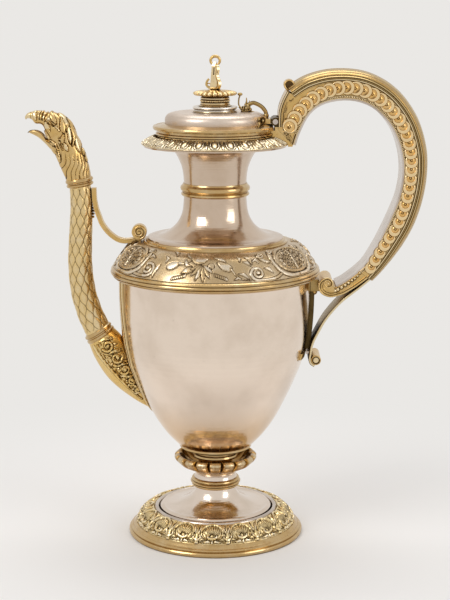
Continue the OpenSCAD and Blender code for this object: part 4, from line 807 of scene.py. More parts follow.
def make_tail():
    """Tail strap with pale gilt edges; its hollow side is silver, darker towards both ends."""
    # across the strap, outwards, tone, and whether it is the hollow side
    section = [(-11, 0, 0.6, 0), (0, 0.05, 0.4, 0), (11, 0, 0.6, 0), (11.6, -0.3, 0.9, 0), (11.6, -1.2, 1, 0),
               (11.35, -1.6, -0.9, 0), (10.8, -1.8, 0, 1), (0, -1.95, 0, 1), (-10.8, -1.8, 0, 1),
               (-11.35, -1.6, -0.9, 0), (-11.6, -1.2, 1, 0), (-11.6, -0.3, 0.9, 0), (-11, 0, 0.6, 0)]

    def shape(v, y, out, tint, hollow):
        clear = ramp(v, 0.1, 0.3) * (1 - ramp(v, 0.58, 0.7))
        return out, y, tint - hollow * (1.0 - 0.55 * clear)

    bm = rail(section, spread(TAIL, 140), shape)
    finish_mesh("handle_tail_strap", bm, TAIL_GILT, replaces=["handle_tail"], crease=50)
    bm = bmesh.new()
    for side in SIDES:
        wire(bm, circle(TAIL_ROLL, 3.25, 28), 0.4, side * 12.0, 8, tint=0.4)
        wire(bm, circle(TAIL_ROLL, 2.75, 28), 0.7, side * 12.1, 8, tint=-1.9)
        ball(bm, (TAIL_ROLL[0], side * 12.0, TAIL_ROLL[1]), (2.35, 0.7, 2.35), 1.3, 20)
    finish_mesh("handle_tail_roll_caps", bm, CAST)


make_outer_strap()
make_discs()
make_cheek_mouldings()
make_lower_branch()
make_tail()


# ---- spout -----------------------------------------------------------------

TUBE = spread(smooth([[-85.15, 150.8], [-91.8, 166.6], [-95.9, 182.2], [-97.6, 201.3], [-96.9, 221.6],
                      [-95.9, 243.4], [-96.8, 259]], 8), 220)
# middle line of the horn (x, z), its half depth and its half width
HORN_LINE = [(-83.8, 148.6, 10.4, 10.4), (-79, 141.2, 12.4, 11), (-73.5, 131.8, 13, 11.4),
             (-68, 123.2, 12.6, 11.2), (-61.9, 114.6, 10.6, 10.4), (-55.6, 106.3, 7.6, 8.4),
             (-49.6, 99, 4.6, 5.4), (-46.6, 93.8, 1.6, 1.8)]
BODY_HEIGHTS = [66.5, 76, 87.5, 101.5, 115.6, 130, 146, 163, 180, 192]
BODY_RADII = [26.4, 35.5, 43.6, 51, 57.4, 63.1, 66.5, 68.1, 68.7, 68.7]


def swept(stations, columns, rows, squareness=1.0):
    """Body through oval stations of (x, z of one edge, x, z of the other edge, half width)."""
    line = spread(smooth(stations, 8), rows + 1)

    def place(u, v):
        upper_x, upper_z, lower_x, lower_z, half = sampled(line, v * rows).T
        over, side = np.cos(u * TURN), np.sin(u * TURN)
        side = np.sign(side) * np.abs(side) ** squareness
        points = np.stack([(upper_x + lower_x) / 2 + (upper_x - lower_x) / 2 * over, half * side,
                           (upper_z + lower_z) / 2 + (upper_z - lower_z) / 2 * over], axis=1)
        return points, np.zeros(len(u))

    return mapped(columns, rows, place)


def make_tube():
    """Tube of the spout, engraved with long pointed scales."""
    run = lengths(TUBE)
    table = np.column_stack([TUBE, normals_of(TUBE), run])
    rows = len(TUBE) - 1
    lines, long = 18, 14.0  # wavy lines round the tube, and the length of a scale

    def place(u, v):
        x, z, nx, nz, far = sampled(table, v * rows).T
        radius = 9.4 - 1.8 * v
        swing = 0.5 * np.cos(TURN * far / long)
        gap = np.full(len(u), 9.0)
        for k in range(-1, lines + 2):
            gap = np.minimum(gap, np.abs(u * lines - k - (-1) ** k * swing))
        gap = gap * TURN * radius / lines
        groove = np.clip(1 - gap / 0.42, 0, 1)
        ends = ramp(far, 2, 4) * ramp(run[-1] - far, 2, 4)
        radius = radius + (0.3 * ramp(gap, 0.2, 2.2) - 0.25 * groove) * ends - 0.1
        out, across = radius * np.cos(u * TURN), radius * np.sin(u * TURN)
        return (np.stack([x + nx * out, across, z + nz * out], axis=1),
                (0.45 * ramp(gap, 0.6, 2.0) - groove) * ends)

    finish_mesh("spout_tube_scales", mapped(144, rows, place), ENGRAVED, replaces=["spout_tube"])


def horn_strokes():
    """Leaf scrolls along the flank of the horn: distance from its wide end, height over its middle."""
    stem = smooth([(3, -7.4), (10, -7.8), (20, -6.4), (32, -4.6), (44, -3), (56, -1.4)], 5)
    strokes = [(stem, [0.6, 0.9, 0.8, 0.7, 0.3], 0.9),
               (smooth([(4, -4.6), (12, -5.4), (22, -4), (34, -2.2)]), [0.4, 0.6, 0.5, 0.2], 0.8)]
    # three leaves about each coil: three places in its sizes, a further step, half widths and height
    leaves = [([(0.5, -1, 0, -1.6), (1.1, -0.9, 0, 0), (1.5, 0, 0, 0)], [0.3, 1.0, 0.3], 1.0),
              ([(-1.3, -0.9, 0, 0), (-1.2, 0.2, 0, 0), (-0.5, 1.2, 0, 0)], [0.3, 1.0, 0.3], 1.0),
              ([(0.8, 0.6, 0, 0), (1.3, 0.9, 0, 0), (1.6, 1.6, 0, 0)], [0.4, 0.9, 0.2], 0.9)]
    for x, y, size, way in ((8.4, 1.4, 4.4, 1), (19.4, 2.8, 4.4, -1), (30, 3.0, 3.7, 1),
                            (39.6, 2.2, 2.9, -1), (47.6, 1.3, 2.1, 1)):
        strokes += [(spiral((x, y), size, 0.9, 1.25, -80 * way, way), [0.95, 0.8, 0.6], 1.2),
                    (spiral((x, y), 0.9, 0.2, 0.9, 0), [0.7, 0.6], 1.2)]
        strokes += [([(x + size * a + c, y + size * b + d) for a, b, c, d in line], widths, rise)
                    for line, widths, rise in leaves]
        for k in range(5):  # petals round the outside of the coil
            turn = math.radians(20 + 52 * k) * way
            out = np.array([math.cos(turn), math.sin(turn)])
            petal = [(x, y) + out * (size + 0.9), (x, y) + out * (size + 2.1) + [0.5, 0]]
            strokes.append((petal, [0.75, 0.3], 1.0))
    return strokes


def make_horn():
    """Horn at the root of the spout, cast with curling leaves on a sunk ground."""
    rows = 150
    line = spread(smooth(HORN_LINE, 6), rows + 1)
    table = np.column_stack([line, normals_of(line), lengths(line[:, :2])])
    strokes = horn_strokes()

    def place(u, v):
        x, z, depth, wide, nx, nz, far = sampled(table, v * rows).T
        over, side = np.cos(u * TURN), np.sin(u * TURN)
        lift, tint = chased(np.stack([far, over * depth], axis=1), strokes, outline=0.5)
        fade = ramp(np.abs(side), 0.12, 0.5) * ramp(far, 1.5, 4)
        lift, tint = lift * fade, np.maximum(tint, -0.75) * fade
        out, across = (depth + 0.6 * lift) * over, (wide + 0.9 * lift) * side
        return np.stack([x + nx * out, across, z + nz * out], axis=1), tint

    finish_mesh("spout_horn_leaves", mapped(128, rows, place), HORN, replaces=["spout_horn"])


PLATE_EDGE = smooth([[0, 90.5], [4, 93], [12, 100], [19.5, 112], [23.5, 125], [25, 140], [24.5, 155],
                     [22.5, 175], [22, 190.6]], 5)


def make_plate_border():
    """Flat border of the plate that seats the spout, between raised fillets, with a ribbed stretch."""
    bm = bmesh.new()
    edge = spread(PLATE_EDGE, 110)
    # distance in from the edge, height over the body and tone
    rows = [(0, 0.2, -1), (0.1, 1.15, 0.8), (0.5, 1.6, 1), (0.95, 1.5, 0.7), (1.15, 1.25, -1),
            (1.4, 1.25, -0.3), (3.4, 1.3, 0.1), (3.6, 1.25, -1), (3.9, 1.6, 0.8), (4.4, 1.75, 1),
            (4.8, 1.5, 0.6), (5, 1.1, -1), (5.2, 0.2, -1)]
    for side in SIDES:
        def place(u, v):
            inward, out, tint = sampled(rows, u * (len(rows) - 1)).T
            y, z, ny, nz = beside(edge, v)
            y, z = np.maximum(y + ny * inward, 0), z + nz * inward
            ribs = ramp(z, 142, 143) * (1 - ramp(z, 158, 159)) * (inward > 1.3) * (inward < 3.5)
            wave = np.sin(TURN * z / 2.2)
            radius = np.interp(z, BODY_HEIGHTS, BODY_RADII) + out + 0.2 * wave * ribs
            x = -np.sqrt(np.maximum(radius ** 2 - y ** 2, 0))
            return np.stack([x, side * y, z], axis=1), tint + (0.9 * wave - 0.1) * ribs

        mapped(len(rows) - 1, 300, place, keep=bm)
    finish_mesh("spout_plate_border", bm, CAST)


HEAD = [  # strokes on either side of the head: line of (x, z), half widths and height
    ([(-116.4, 310.2), (-114.6, 306.5), (-112.0, 302.2)], [0.3, 1.5, 1.7, 0.3], 1.0),
    ([(-108.9, 305.5), (-107.6, 301.1), (-106.8, 295.7)], [0.5, 1.8, 2, 0.4], 1.1),
    ([(-107.0, 294.7), (-108.0, 291.4), (-107.2, 288.2)], [0.6, 1.4, 1.3, 0.4], 1.0),
    ([(-115.3, 311.6), (-109.4, 309.8), (-104.4, 304.9), (-101.3, 297.3), (-99.9, 292.5), (-101.0, 287.1)],
     [0.5, 0.8, 0.9, 0.9, 0.5], 1.1),
    ([(-112.1, 312.7), (-105.7, 309.5), (-100.6, 303.8), (-97.3, 297.3), (-94.9, 290.3), (-93.7, 284.9)],
     [0.4, 0.9, 1, 0.9, 0.4], 1.0),
    ([(-111.1, 309.2), (-107.3, 306.0), (-104.7, 301.1), (-104.3, 296.8)], [0.4, 0.8, 0.9, 0.5], 0.9),
    ([(-103.7, 299.5), (-103.0, 293.6), (-102.3, 288.2)], [0.5, 1.2, 1.2, 0.4], 0.9),
    ([(-106.3, 288.2), (-105.3, 285.5), (-104.3, 283.6)], [0.8, 1.5, 1.3, 0.5], 1.0),
    ([(-99.0, 291.9), (-97.7, 287.6), (-96.2, 283.0)], [0.5, 1.3, 1.5, 0.5], 1.0),
    ([(-94.2, 286.0), (-93.2, 281.7), (-91.9, 278.4)], [0.5, 1, 1.2, 0.4], 0.9),
    ([(-92.7, 280.6), (-90.8, 276.8), (-89.3, 273.2)], [0.5, 1.2, 1.2, 0.3], 0.9),
    ([(-120.8, 311.2), (-122.7, 309.2), (-123.1, 306.5), (-122.5, 304.9)], [0.3, 0.6, 0.7, 0.3], 0.9),
    ([(-118.6, 309.8), (-120.5, 308.1), (-121.1, 306.0), (-120.3, 304.1)], [0.3, 0.6, 0.6, 0.3], 0.9),
    ([(-122.9, 311.6), (-124.5, 309.5), (-124.8, 307.0), (-124.1, 305.4)], [0.3, 0.5, 0.5, 0.3], 0.6),
    ([(-117.6, 304.1), (-116.1, 302.6), (-114.2, 300.6)], [0.3, 0.5, 0.2], 0.8),
    ([(-119.4, 303.3), (-118.8, 300.6), (-117.0, 297.3)], [0.5, 1.8, 1.9, 0.5], 0.8),
    ([(-127.3, 311.1), (-127.9, 308.7), (-126.8, 304.9)], [1, 1.3, 1.3, 0.4], 0.6),
    ([(-120.5, 297.3), (-118.4, 293.6), (-117.1, 291.4)], [0.3, 0.9, 0.6], 0.8),
    ([(-116.6, 289.2), (-114.7, 288.2), (-113.1, 286.8)], [0.5, 1.1, 0.3], 0.9),
    ([(-114.8, 286.5), (-112.9, 284.9), (-111.5, 282.5)], [0.5, 1.1, 0.3], 0.9),
    ([(-112.7, 282.7), (-110.8, 280.0), (-110.1, 276.8)], [0.4, 1, 0.3], 0.8),
    ([(-116.8, 290.9), (-113.6, 289.0), (-111.5, 285.5), (-110.3, 280.0)], [0.3, 0.35, 0.35, 0.2], 0.8),
    ([(-113.7, 301.1), (-111.3, 299.5), (-109.7, 297.3)], [0.3, 0.6, 0.3], 0.7),
    ([(-110.3, 292.5), (-109.9, 288.2), (-107.8, 283.8)], [0.3, 0.5, 0.2], 0.6),
]
EYE = (-117.3, 305.6)


def make_head():
    """Griffin's head at the mouth of the spout, with crest, brows and layered feathers."""
    stations = [(-88.9, 258.6, -105.7, 257.4, 8.4), (-89.2, 266, -107.4, 264.4, 8.6),
                (-90.6, 273.4, -110.6, 271.6, 8.8), (-93.6, 282, -113.4, 278.6, 9.0),
                (-96.6, 290.4, -117, 284, 9.2), (-100.8, 299.2, -119.3, 290.4, 9.2),
                (-106.4, 306.2, -120.7, 296.2, 8.6), (-113.2, 309.8, -121.8, 299.6, 7.6),
                (-118.6, 309.9, -123.9, 301.6, 6.4), (-124.4, 311.2, -127.6, 302, 4.9),
                (-129.2, 310.6, -130.3, 304.9, 3.4), (-133.2, 309.2, -133, 305.6, 1.9),
                (-135.1, 306.6, -134.4, 304.6, 0.8)]

    def shape(points):
        x, y, z = points.T
        lift, tone = chased(points[:, [0, 2]], HEAD, outline=0.42)
        # engraved down on the neck
        along = (x + 96) * 0.16 + (z - 264) * 0.987
        across = (x + 96) * 0.987 - (z - 264) * 0.16 + 0.35 * y
        cut = np.exp(-(np.sin(across * 1.05 + 0.7 * np.sin(along * 0.5)) / 0.35) ** 2)
        low = ramp(along, -4.5, -2.5) * (1 - ramp(along, 13, 19)) * (lift == 0)
        lift, tone = lift + (0.25 - 0.5 * cut) * low, tone + (0.4 - 1.3 * cut) * low
        # silvery beak with a dark line round its root, and a dark seam above the upper collar
        beak = ramp(-x, 127, 130.5)
        seam = np.exp(-((x + 130.6) / 0.4) ** 2) + np.exp(-((along + 5.4) / 0.5) ** 2)
        tone = tone * (1 - beak) + 0.9 * beak - 1.6 * np.minimum(seam, 1)
        return lift * 1.25 * ramp(np.abs(y), 0.3, 3), tone

    bm = sculpt(swept(stations, columns=112, rows=190, squareness=0.85), shape)
    finish_mesh("griffin_head", bm, CAST, replaces=["spout_head"])
    bm = bmesh.new()
    for side in SIDES:
        ball(bm, (EYE[0], side * 7.1, EYE[1]), (1.35, 1.0, 1.35), 1.0, 16)
        wire(bm, circle(EYE, 1.7, 20), 0.35, side * 7.2, 8, tint=-0.6)
    finish_mesh("griffin_eyes", bm, CAST)


def make_jaw():
    """Lower jaw, hollow above like the tongue of a pen."""
    stations = [(-113.6, 289, -110.6, 279.4, 6), (-117.6, 291, -114.4, 281.6, 5.9),
                (-120.3, 292.2, -117.2, 283.8, 5.7), (-122.4, 295.6, -120.2, 287, 5.4),
                (-125.2, 297.8, -124.4, 291, 4.7), (-128.6, 298.9, -128, 293.4, 3.8),
                (-131.4, 298.7, -131.4, 295, 2.4), (-133.3, 297.2, -133.2, 295.9, 0.8)]

    def shape(points):
        x, y, z = points.T
        line = np.interp(x, [-133.3, -131.4, -125.2, -120.3], [297.2, 298.7, 297.8, 292.2])
        hollow = ramp(z, line - 2.2, line - 0.4) * (1 - ramp(np.abs(y), 1.5, 4)) * ramp(-x, 119, 123)
        return hollow[:, None] * [0, 0, -1.5], 0.4 - 1.4 * hollow

    bm = sculpt(swept(stations, columns=48, rows=60), shape)
    finish_mesh("griffin_jaw", bm, CAST, replaces=["spout_jaw"])


def make_stay_fillets():
    """Fillets of the stay and the coil of its volute."""
    bm = bmesh.new()
    stay = smooth([[-86.3, 246.5], [-85.1, 240.5], [-83.3, 235.5], [-81.4, 230.4], [-77.8, 225.1],
                   [-73.6, 221.1], [-69.5, 218.6], [-65.4, 217.7], [-61.5, 217.9], [-56.2, 218.9]], 5)
    x, z = coil = (-54.6, 224.4)
    for side in SIDES:
        wire(bm, spiral(coil, 5.0, 0.9, 1.8, -80, 1, 20), 0.75, side * 3.9, end=0.7, tint=1.0)
        wire(bm, spiral(coil, 4.1, 0.5, 1.6, -80, 1, 20), 0.4, side * 3.8, 8, tint=-1.6)
        ball(bm, (x, side * 3.1, z), (1.1, 0.6, 1.1), 0.9)
        for by in (-1.35, 1.35):
            wire(bm, shifted(stay, by), 0.32, side * 3.0, 8, tint=0.9)
    for k in range(9):  # beads of solder along the strap's root on the tube
        ball(bm, (-87.6 + 0.12 * k - 0.004 * k * k, 0, 235 + 2.2 * k), (0.9, 2.6, 0.9), 0.5, 10)
    finish_mesh("spout_stay_fillets", bm, CAST)


def make_pad_leaf():
    """Leaf of five lobes under the volute of the stay, spread over the shoulder."""
    bm = bmesh.new()
    for y, lean, long in ((0, 0, 13), (-3.4, -0.35, 10.5), (3.4, 0.35, 10.5), (-6, -0.7, 8), (6, 0.7, 8)):
        path = []
        for t in np.linspace(0, 1, 9):
            radius = 53.5 + long * t * math.cos(lean) + 2
            across = y * (0.5 + 0.9 * t) + long * t * math.sin(lean) * 0.6
            z = np.interp(radius, [52, 58, 64, 70.3, 73.3], [217.5, 216.5, 212.8, 204.7, 200])
            z = z + 0.8 + 1.2 * math.sin(math.pi * t)
            path.append((-math.sqrt(radius * radius - across * across), across, z))
        leaf(bm, path, [1.2, 2.0, 2.2, 1.4, 0.15], thick=0.9, side=(0, 1, 0), cup=0.3)
    finish_mesh("spout_pad_leaf", bm, CAST)


make_tube()
make_horn()
make_plate_border()
make_head()
make_jaw()
make_stay_fillets()
make_pad_leaf()


# ---- turned pieces with chased and sculpted faces ---------------------------

# The strokes of a border lie on its face: distance across a motif, and distance along the face.

FOOT_MOTIFS = 16
FOOT_FIRST = -92.2
FOOT_R = 53
FOOT_CURVE = smooth([[58.2, 8], [56.8, 11.4], [52.4, 16.3], [47, 18.8], [45.4, 18.2]], 10)


def palmette():
    """Strokes of a palmette in a horseshoe ring, and of the two half husks that it shares."""
    ring = [(7.5 * math.cos(a), 9.4 + 7 * math.sin(a)) for a in np.radians(np.arange(-62, 243, 12))]
    strokes = [(ring, [0.3, 0.8, 0.8, 0.8, 0.3], 0.9)]
    for k in range(-4, 5):
        lean = math.radians(90 + 21 * k)
        x, y = math.cos(lean), math.sin(lean)
        reach = 6.1 - 0.25 * abs(k)
        rib = [(1.6 * x, 6.2 + 1.6 * y), (3.8 * x, 7.4 + 3.4 * y), (reach * x, 9.3 + 0.86 * reach * y)]
        strokes.append((rib, [0.25, 0.6, 0.75, 0.3], 0.75))
    strokes.append((mirrored([(-3.6, 6.6), (-2.4, 4.7), (0, 3.9)]), [0.3, 0.9, 1.1, 0.9, 0.3], 0.9))
    half = math.pi * FOOT_R / FOOT_MOTIFS
    husk = [([(0, 0.8), (0, 6), (0, 15.8)], [1.5, 1.0, 0.35], 1.0),
            ([(0.6, 3), (2.4, 4.6), (3.4, 8.6)], [0.6, 0.55, 0.2], 0.7),
            ([(1.1, 8.4), (1.9, 11.6), (3.6, 14.8)], [0.5, 0.6, 0.2], 0.7),
            ([(half - 6.6, 2.6), (half - 4.6, 1.5), (half - 2.4, 2.2), (half - 1.4, 1.2)],
             [0.25, 0.75, 0.8, 0.4], 0.8)]
    husk += [([(x, 0.7), (x + 0.5, 2.5)], [0.35, 0.2], 0.4) for x in (2.2, 3.2, 4.2)]
    for side in SIDES:
        strokes += [([(side * (half - x), y) for x, y in line], widths, rise)
                    for line, widths, rise in husk]
    strokes.append(([(0, 0.8), (0, 2.4)], [0.8, 0.5], 0.7))
    return strokes


def make_foot_border():
    """Border of the foot: palmettes on a punched ground, drawn up in one piece with its fillets."""
    bm = chased_ring(FOOT_CURVE, back=[(45.4, 15), (52, 12), (56, 8)], steps=768,
                     cell=lambda angle: round_cell(angle, FOOT_MOTIFS, FOOT_FIRST, FOOT_R),
                     strokes=palmette(), outline=0.5, rises=[(0.1, 0.9), (0.2, 1.2)])
    finish_mesh("foot_border_chased", bm, CHASED, replaces=["foot_border"])


TONGUES = 28
MOUTH_R = 48
MOUTH_CURVE = smooth([[52.1, 287.3], [52.5, 288.1], [49.9, 289.9], [46.5, 291.7], [43.5, 293]], 8)


def make_mouth_border():
    """Border of the mouth: tongues in their frames, with a dart rod between each two."""
    hoop = mirrored([(-2.7, 10.6), (-3, 6), (-2.5, 3), (-1.2, 1.6), (0, 1.2)])
    strokes = [([(0, 9.6), (0, 6), (0, 3.3)], [1.5, 1.7, 1.2], 0.9), (hoop, [0.42, 0.42], 0.7)]
    half = math.pi * MOUTH_R / TONGUES
    for side in SIDES:
        edge, inner = side * half, side * (half - 1.1)
        strokes += [([(edge, 0.9), (edge, 6), (edge, 10.6)], [0.75, 0.35, 0.5], 0.7),
                    ([(inner, 4.6), (inner, 10.6)], [0.15, 0.3], 0.4)]
    bm = chased_ring(MOUTH_CURVE, back=[(43.5, 288.4), (50.4, 287.1)], steps=784,
                     cell=lambda angle: round_cell(angle, TONGUES, -90, MOUTH_R),
                     strokes=strokes, outline=0.42, rises=[(0.9, 1.7), (-2, -1)])
    finish_mesh("mouth_border_tongues", bm, BORDER, replaces=["mouth_border"])


BAND_R = 66
BAND_PERIOD = TURN * BAND_R / 3
BAND_EDGE = -74.2
BAND_CURVE = smooth([[73.3, 200], [70.3, 204.7], [64, 212.8], [58, 216.5], [52, 217.5]], 18)


def fruit_strokes():
    """Cluster of fruit with its leaves and stems, a ribbed shell and two rows of reeds."""
    strokes = [
        ([(-16.4, 17.9), (-10.8, 16.6), (-5.2, 18.4)], [0.4, 2.4, 2.6, 2.2, 0.4], 1.0),
        ([(2.6, 15.6), (6.7, 12.3), (9.4, 11)], [1.0, 2.4, 2.9, 2.5], 1.1),
        ([(-2.4, 13.1), (-2.2, 13)], [2.1, 2.1], 1.1),
        ([(-24.9, 14.6), (-28.6, 12.6), (-31.4, 11.2)], [0.9, 2.2, 2.8, 2.5], 1.1),
        ([(-21.6, 7), (-17.4, 9.6), (-13.9, 10.4)], [0.5, 2.2, 2.2, 0.8], 1.0),
        ([(-24.5, 14.2), (-21.6, 14.3), (-17, 17)], [0.9, 0.7, 0.4], 0.7),
        ([(-21, 17.6), (-19.4, 13.6), (-15.6, 12.4)], [0.3, 1.2, 0.3], 0.8),
        ([(-21.6, 25), (-20.2, 21.6), (-17.6, 19.4)], [0.3, 0.7, 0.3], 0.7),
        ([(0.6, 19.6), (4.6, 18.4), (7.6, 16)], [0.3, 1.3, 0.3], 0.8),
        ([(-39.4, 12), (-42.3, 7), (-42.3, 1.8)], [0.2, 1.7, 1.3, 0.2], 0.9),
        ([(-34.2, 26.4), (-30.2, 24.5), (-28.6, 20.5)], [0.3, 1.3, 0.2], 0.9),
        ([(-38, 19.8), (-35, 17.4), (-35.6, 14)], [0.2, 1.1, 0.2], 0.8),
        ([(16.8, 20.5), (18.2, 18.2), (17.6, 15.6)], [0.2, 1.0, 0.2], 0.8),
        ([(22.6, 19.6), (25.5, 17.6), (26.4, 13.4)], [0.3, 1.5, 0.3], 0.9),
        ([(20.4, 15.6), (23, 14.6), (25, 12.4)], [0.2, 1.2, 0.3], 0.8),
        ([(11.2, 10), (13.8, 5.4), (17.3, 2.4), (23, 1.4)], [0.5, 0.4, 0.3, 0.2], 0.5),
        ([(15.4, 6.6), (19, 6), (22, 2.6)], [0.2, 1.2, 0.2], 0.8),
        ([(12.4, 2.4), (14.8, 3.4), (16.4, 2.6)], [0.2, 0.9, 0.2], 0.7),
    ]
    shell = np.array([-8, 14])
    for lean, reach in ((-62, 9), (-40, 11), (-19, 12.6), (3, 13), (25, 11.4), (46, 9)):
        tip = math.radians(lean - 90)
        out = np.array([math.cos(tip), math.sin(tip)])
        rib = [shell + 1.5 * out, shell + 0.6 * reach * out, shell + reach * out]
        strokes.append((rib, [0.4, 1.25, 1.1, 0.2], 0.8))
    for t in np.linspace(0, 1, 7):
        strokes += [([(-27.5 + 8 * t, 2 + 2.6 * t), (-27 + 8 * t, 3.6 + 2.6 * t)], [0.75, 0.4], 0.6),
                    ([(0.5 + 7 * t, 5.6 - 3 * t), (0.2 + 7 * t, 7 - 3 * t)], [0.75, 0.4], 0.6)]
    return strokes


def scroll_strokes(x, z, reach, side):
    """Large coil at (x, z) that runs out into a sweeping stem, with its leaves."""
    def by(*places):
        return [(x + side * across, z + up) for across, up in places]

    coil = spiral((x, z), reach, 1.1, 1.7, -90, -side)
    sweep = smooth(by((0, -reach), (6.2, -reach), (13.4, 1.2 - reach), (18.6, -1.6), (20.6, 2), (18.8, 5),
                      (16.4, 4.2), (16.8, 2)))
    return [(np.concatenate([sweep[::-1], coil[1:]]), [0.3, 0.8, 1.0, 0.9, 1.1], 0.9),
            (spiral((x, z), 1.0, 0.1, 0.8, 0), [0.7, 0.7], 1.0),
            (by((3.8, 15.4), (4.6, 12), (8.4, 8.6), (15, 6.9)), [0.4, 1.0, 1.2, 0.9, 0.3], 0.9),
            (by((6, 3.4), (9.4, 2.8), (11.4, -0.4)), [0.2, 1.4, 0.3], 0.8),
            (by((-2, 9), (1.4, 10.6), (3, 8)), [0.3, 1.0, 0.3], 0.8),
            (spiral((x + side * 6.6, z + 14.4), 2.9, 0.6, 1.3, 200, side), [0.7, 0.5], 0.8)]


def cartouche_strokes(x):
    """Oval cartouche of layered leaves in a frame of scrolls, about one place across the band."""
    oval = [(x + 17.2 * math.cos(a), 14.8 + 10.6 * math.sin(a)) for a in np.linspace(0, TURN, 60)]
    strokes = [(oval, [1.25, 1.25], 1.1)]
    for side in SIDES:
        def by(*places):
            return [(x + side * across, up) for across, up in places]

        strokes += [(smooth(by((0, 1.6), (9, 1.8), (16, 5.2), (19.6, 11), (21.4, 17.6), (20, 23.4))),
                     [1.1, 1.4, 1.3, 0.9, 0.4], 1.0),
                    (spiral((x + side * 18.4, 23), 2.4, 0.5, 1.2, 90, side), [0.7, 0.5], 0.8)]
        for k, wide in enumerate((8.6, 12.6, 13.4, 11.4, 7)):
            low = 7.4 + 3.2 * k
            leaf_line = by((0.6, low), (0.5 * wide, low + 1.9), (wide, low + 0.3))
            strokes += [(leaf_line, [0.35, 0.85, 0.3], 0.7),
                        (spiral((x + side * (wide - 1.1), low - 0.2), 1.3, 0.4, 1.1, 60, -side),
                         [0.45, 0.35], 0.7)]
            strokes += [(by(((0.2 + j) * wide / 4, low + 1.5), ((0.5 + j) * wide / 4, low + 2.9)),
                         [0.35, 0.12], 0.45) for j in range(4)]
    strokes.append(([(x, 6), (x, 14), (x, 23.4)], [0.7, 0.55, 0.3], 0.8))
    return strokes


def make_shoulder_band():
    """Shoulder, chased from both sides with fruit, scrolls and cartouches on a punched ground."""
    strokes = fruit_strokes() + scroll_strokes(28.6, 6.2, 5.4, 1) + scroll_strokes(-48.4, 7.8, 5.6, -1)
    for x in (63.9, 63.9 - BAND_PERIOD):  # over the place where the pattern starts again
        strokes += cartouche_strokes(x)

    def cell(angle):
        return ((angle + math.pi / 2) * BAND_R - BAND_EDGE) % BAND_PERIOD + BAND_EDGE

    bm = chased_ring(BAND_CURVE, back=[(52, 215.6), (62, 210), (69, 200)], steps=1080, cell=cell,
                     strokes=strokes, outline=0.5, rises=[(0.2, 1.0), (0.3, 1.2)], share=0.8)
    finish_mesh("shoulder_band_chased", bm, BAND, replaces=["shoulder_band"])


def lobes(points, count):
    """Distance from the axis, and across a lobe: 0 in its middle, 1 at the joint with the next."""
    angle, far = radial(points)
    return far, np.abs(round_cell(angle, count, -90, 1)) * count / math.pi


def make_knop_petals():
    """Calyx of eighteen lobed petals, their rims rolled outwards and rubbed pale."""
    outside = smooth([[16.3, 48.1], [24.3, 50.4], [28.8, 54.1], [30.4, 56.5], [30, 57.9], [28.4, 59.1]], 6)
    inside = smooth([[12.1, 49.5], [18.8, 51.7], [23.4, 55.5], [26.4, 58.5], [28, 59.1]])

    def shape(points):
        far, across = lobes(points, 18)
        joint = ramp(across, 0.62, 1.0) ** 2
        grow = ramp(far, 17, 29)
        move = points / -np.maximum(far, 1)[:, None] * ((2.6 * joint + 0.5 * across ** 2) * grow)[:, None]
        move[:, 2] = -0.5 * joint * grow * (points[:, 2] > 56)
        rib = np.exp(-(across / 0.12) ** 2)
        tone = 0.9 * ramp(far, 26, 29.6) * (1 - across ** 2) - (joint + 0.25 * rib) * grow
        return move, tone * (points[:, 2] < 59.2)

    bm = sculpt(turned([*outside, *inside[::-1], (12.1, 48.1)], steps=540), shape)
    finish_mesh("knop_calyx", bm, PETAL, replaces=["knop_petals"])


def make_rosette():
    """Gadrooned disc under the finial, its lobes swelling towards the rim."""
    top = smooth([[14.2, 321.9], [15.3, 322.6], [15.6, 323.6], [14.4, 324.6], [10.6, 325.3], [5, 325.8]], 5)

    def shape(points):
        far, across = lobes(points, 24)
        lobe = np.sqrt(np.clip(1 - across ** 2, 0, 1))
        grow = ramp(far, 6.5, 13.5) * (points[:, 2] > 321.7)
        return -0.95 * (1 - lobe) * grow, (lobe * 1.9 - 1.0) * grow * ramp(far, 6, 12)

    bm = sculpt(turned([(0.001, 321.6), (11, 321.6), *top, (0.001, 325.8)], steps=480), shape)
    finish_mesh("finial_gadroons", bm, CAST, "cover", ["finial_rosette"])


def make_drum_pearls():
    """Ring of pearls round the drum of the finial."""
    bm = bmesh.new()
    count, radius = 44, 10.05
    for k in range(count):
        turn = math.radians(-90 + 360 * k / count)
        ball(bm, (radius * math.cos(turn), radius * math.sin(turn), 318.15), 0.66, segments=10)
    finish_mesh("finial_drum_pearls", bm, CAST, "cover")


make_foot_border()
make_mouth_border()
make_shoulder_band()
make_knop_petals()
make_rosette()
make_drum_pearls()


# ---- construction pieces that keep their shape -----------------------------

KEPT = {
    BODY: ["body_shell"],
    NECK: ["neck_lower", "neck_upper"],
    SILVER: ["foot_dish", "stem_spool"],
    DOME: ["cover_dome"],
    CAST: ["handle_cheeks", "handle_front_plate", "handle_saddle", "handle_volute",
           "handle_top_roll", "handle_tail_roll", "handle_clip", "cover_hinge_strap", "spout_stay"],
    DULLED: ["handle_shoulder_block"],
    TARNISHED: ["handle_stay", "hinge_knuckles", "cover_knuckle"],
    SHEET: ["foot_bead", "handle_inner_strap", "cover_bezel", "finial_screw", "finial_nut", "hinge_pin",
            "handle_rivets", "stem_rod", "stem_nut", "stem_washer"],
}


def finish_kept():
    """Gives each construction piece that stays its metal: silver, or gilt mouldings for the rest."""
    chosen = {node: material for material, names in KEPT.items() for node in names}
    for name, node in NODES.items():
        node.data.materials.clear()
        node.data.materials.append(chosen.get(name, MOULDED))


finish_kept()


# ---- stage, light and camera -----------------------------------------------

# here lengths are metres, and powers watts
PAPER = "#eae8e5"
FLOOR_RADIUS = 14
MIDDLE = Vector((0, 0, 0.19))
TILT = 11.3


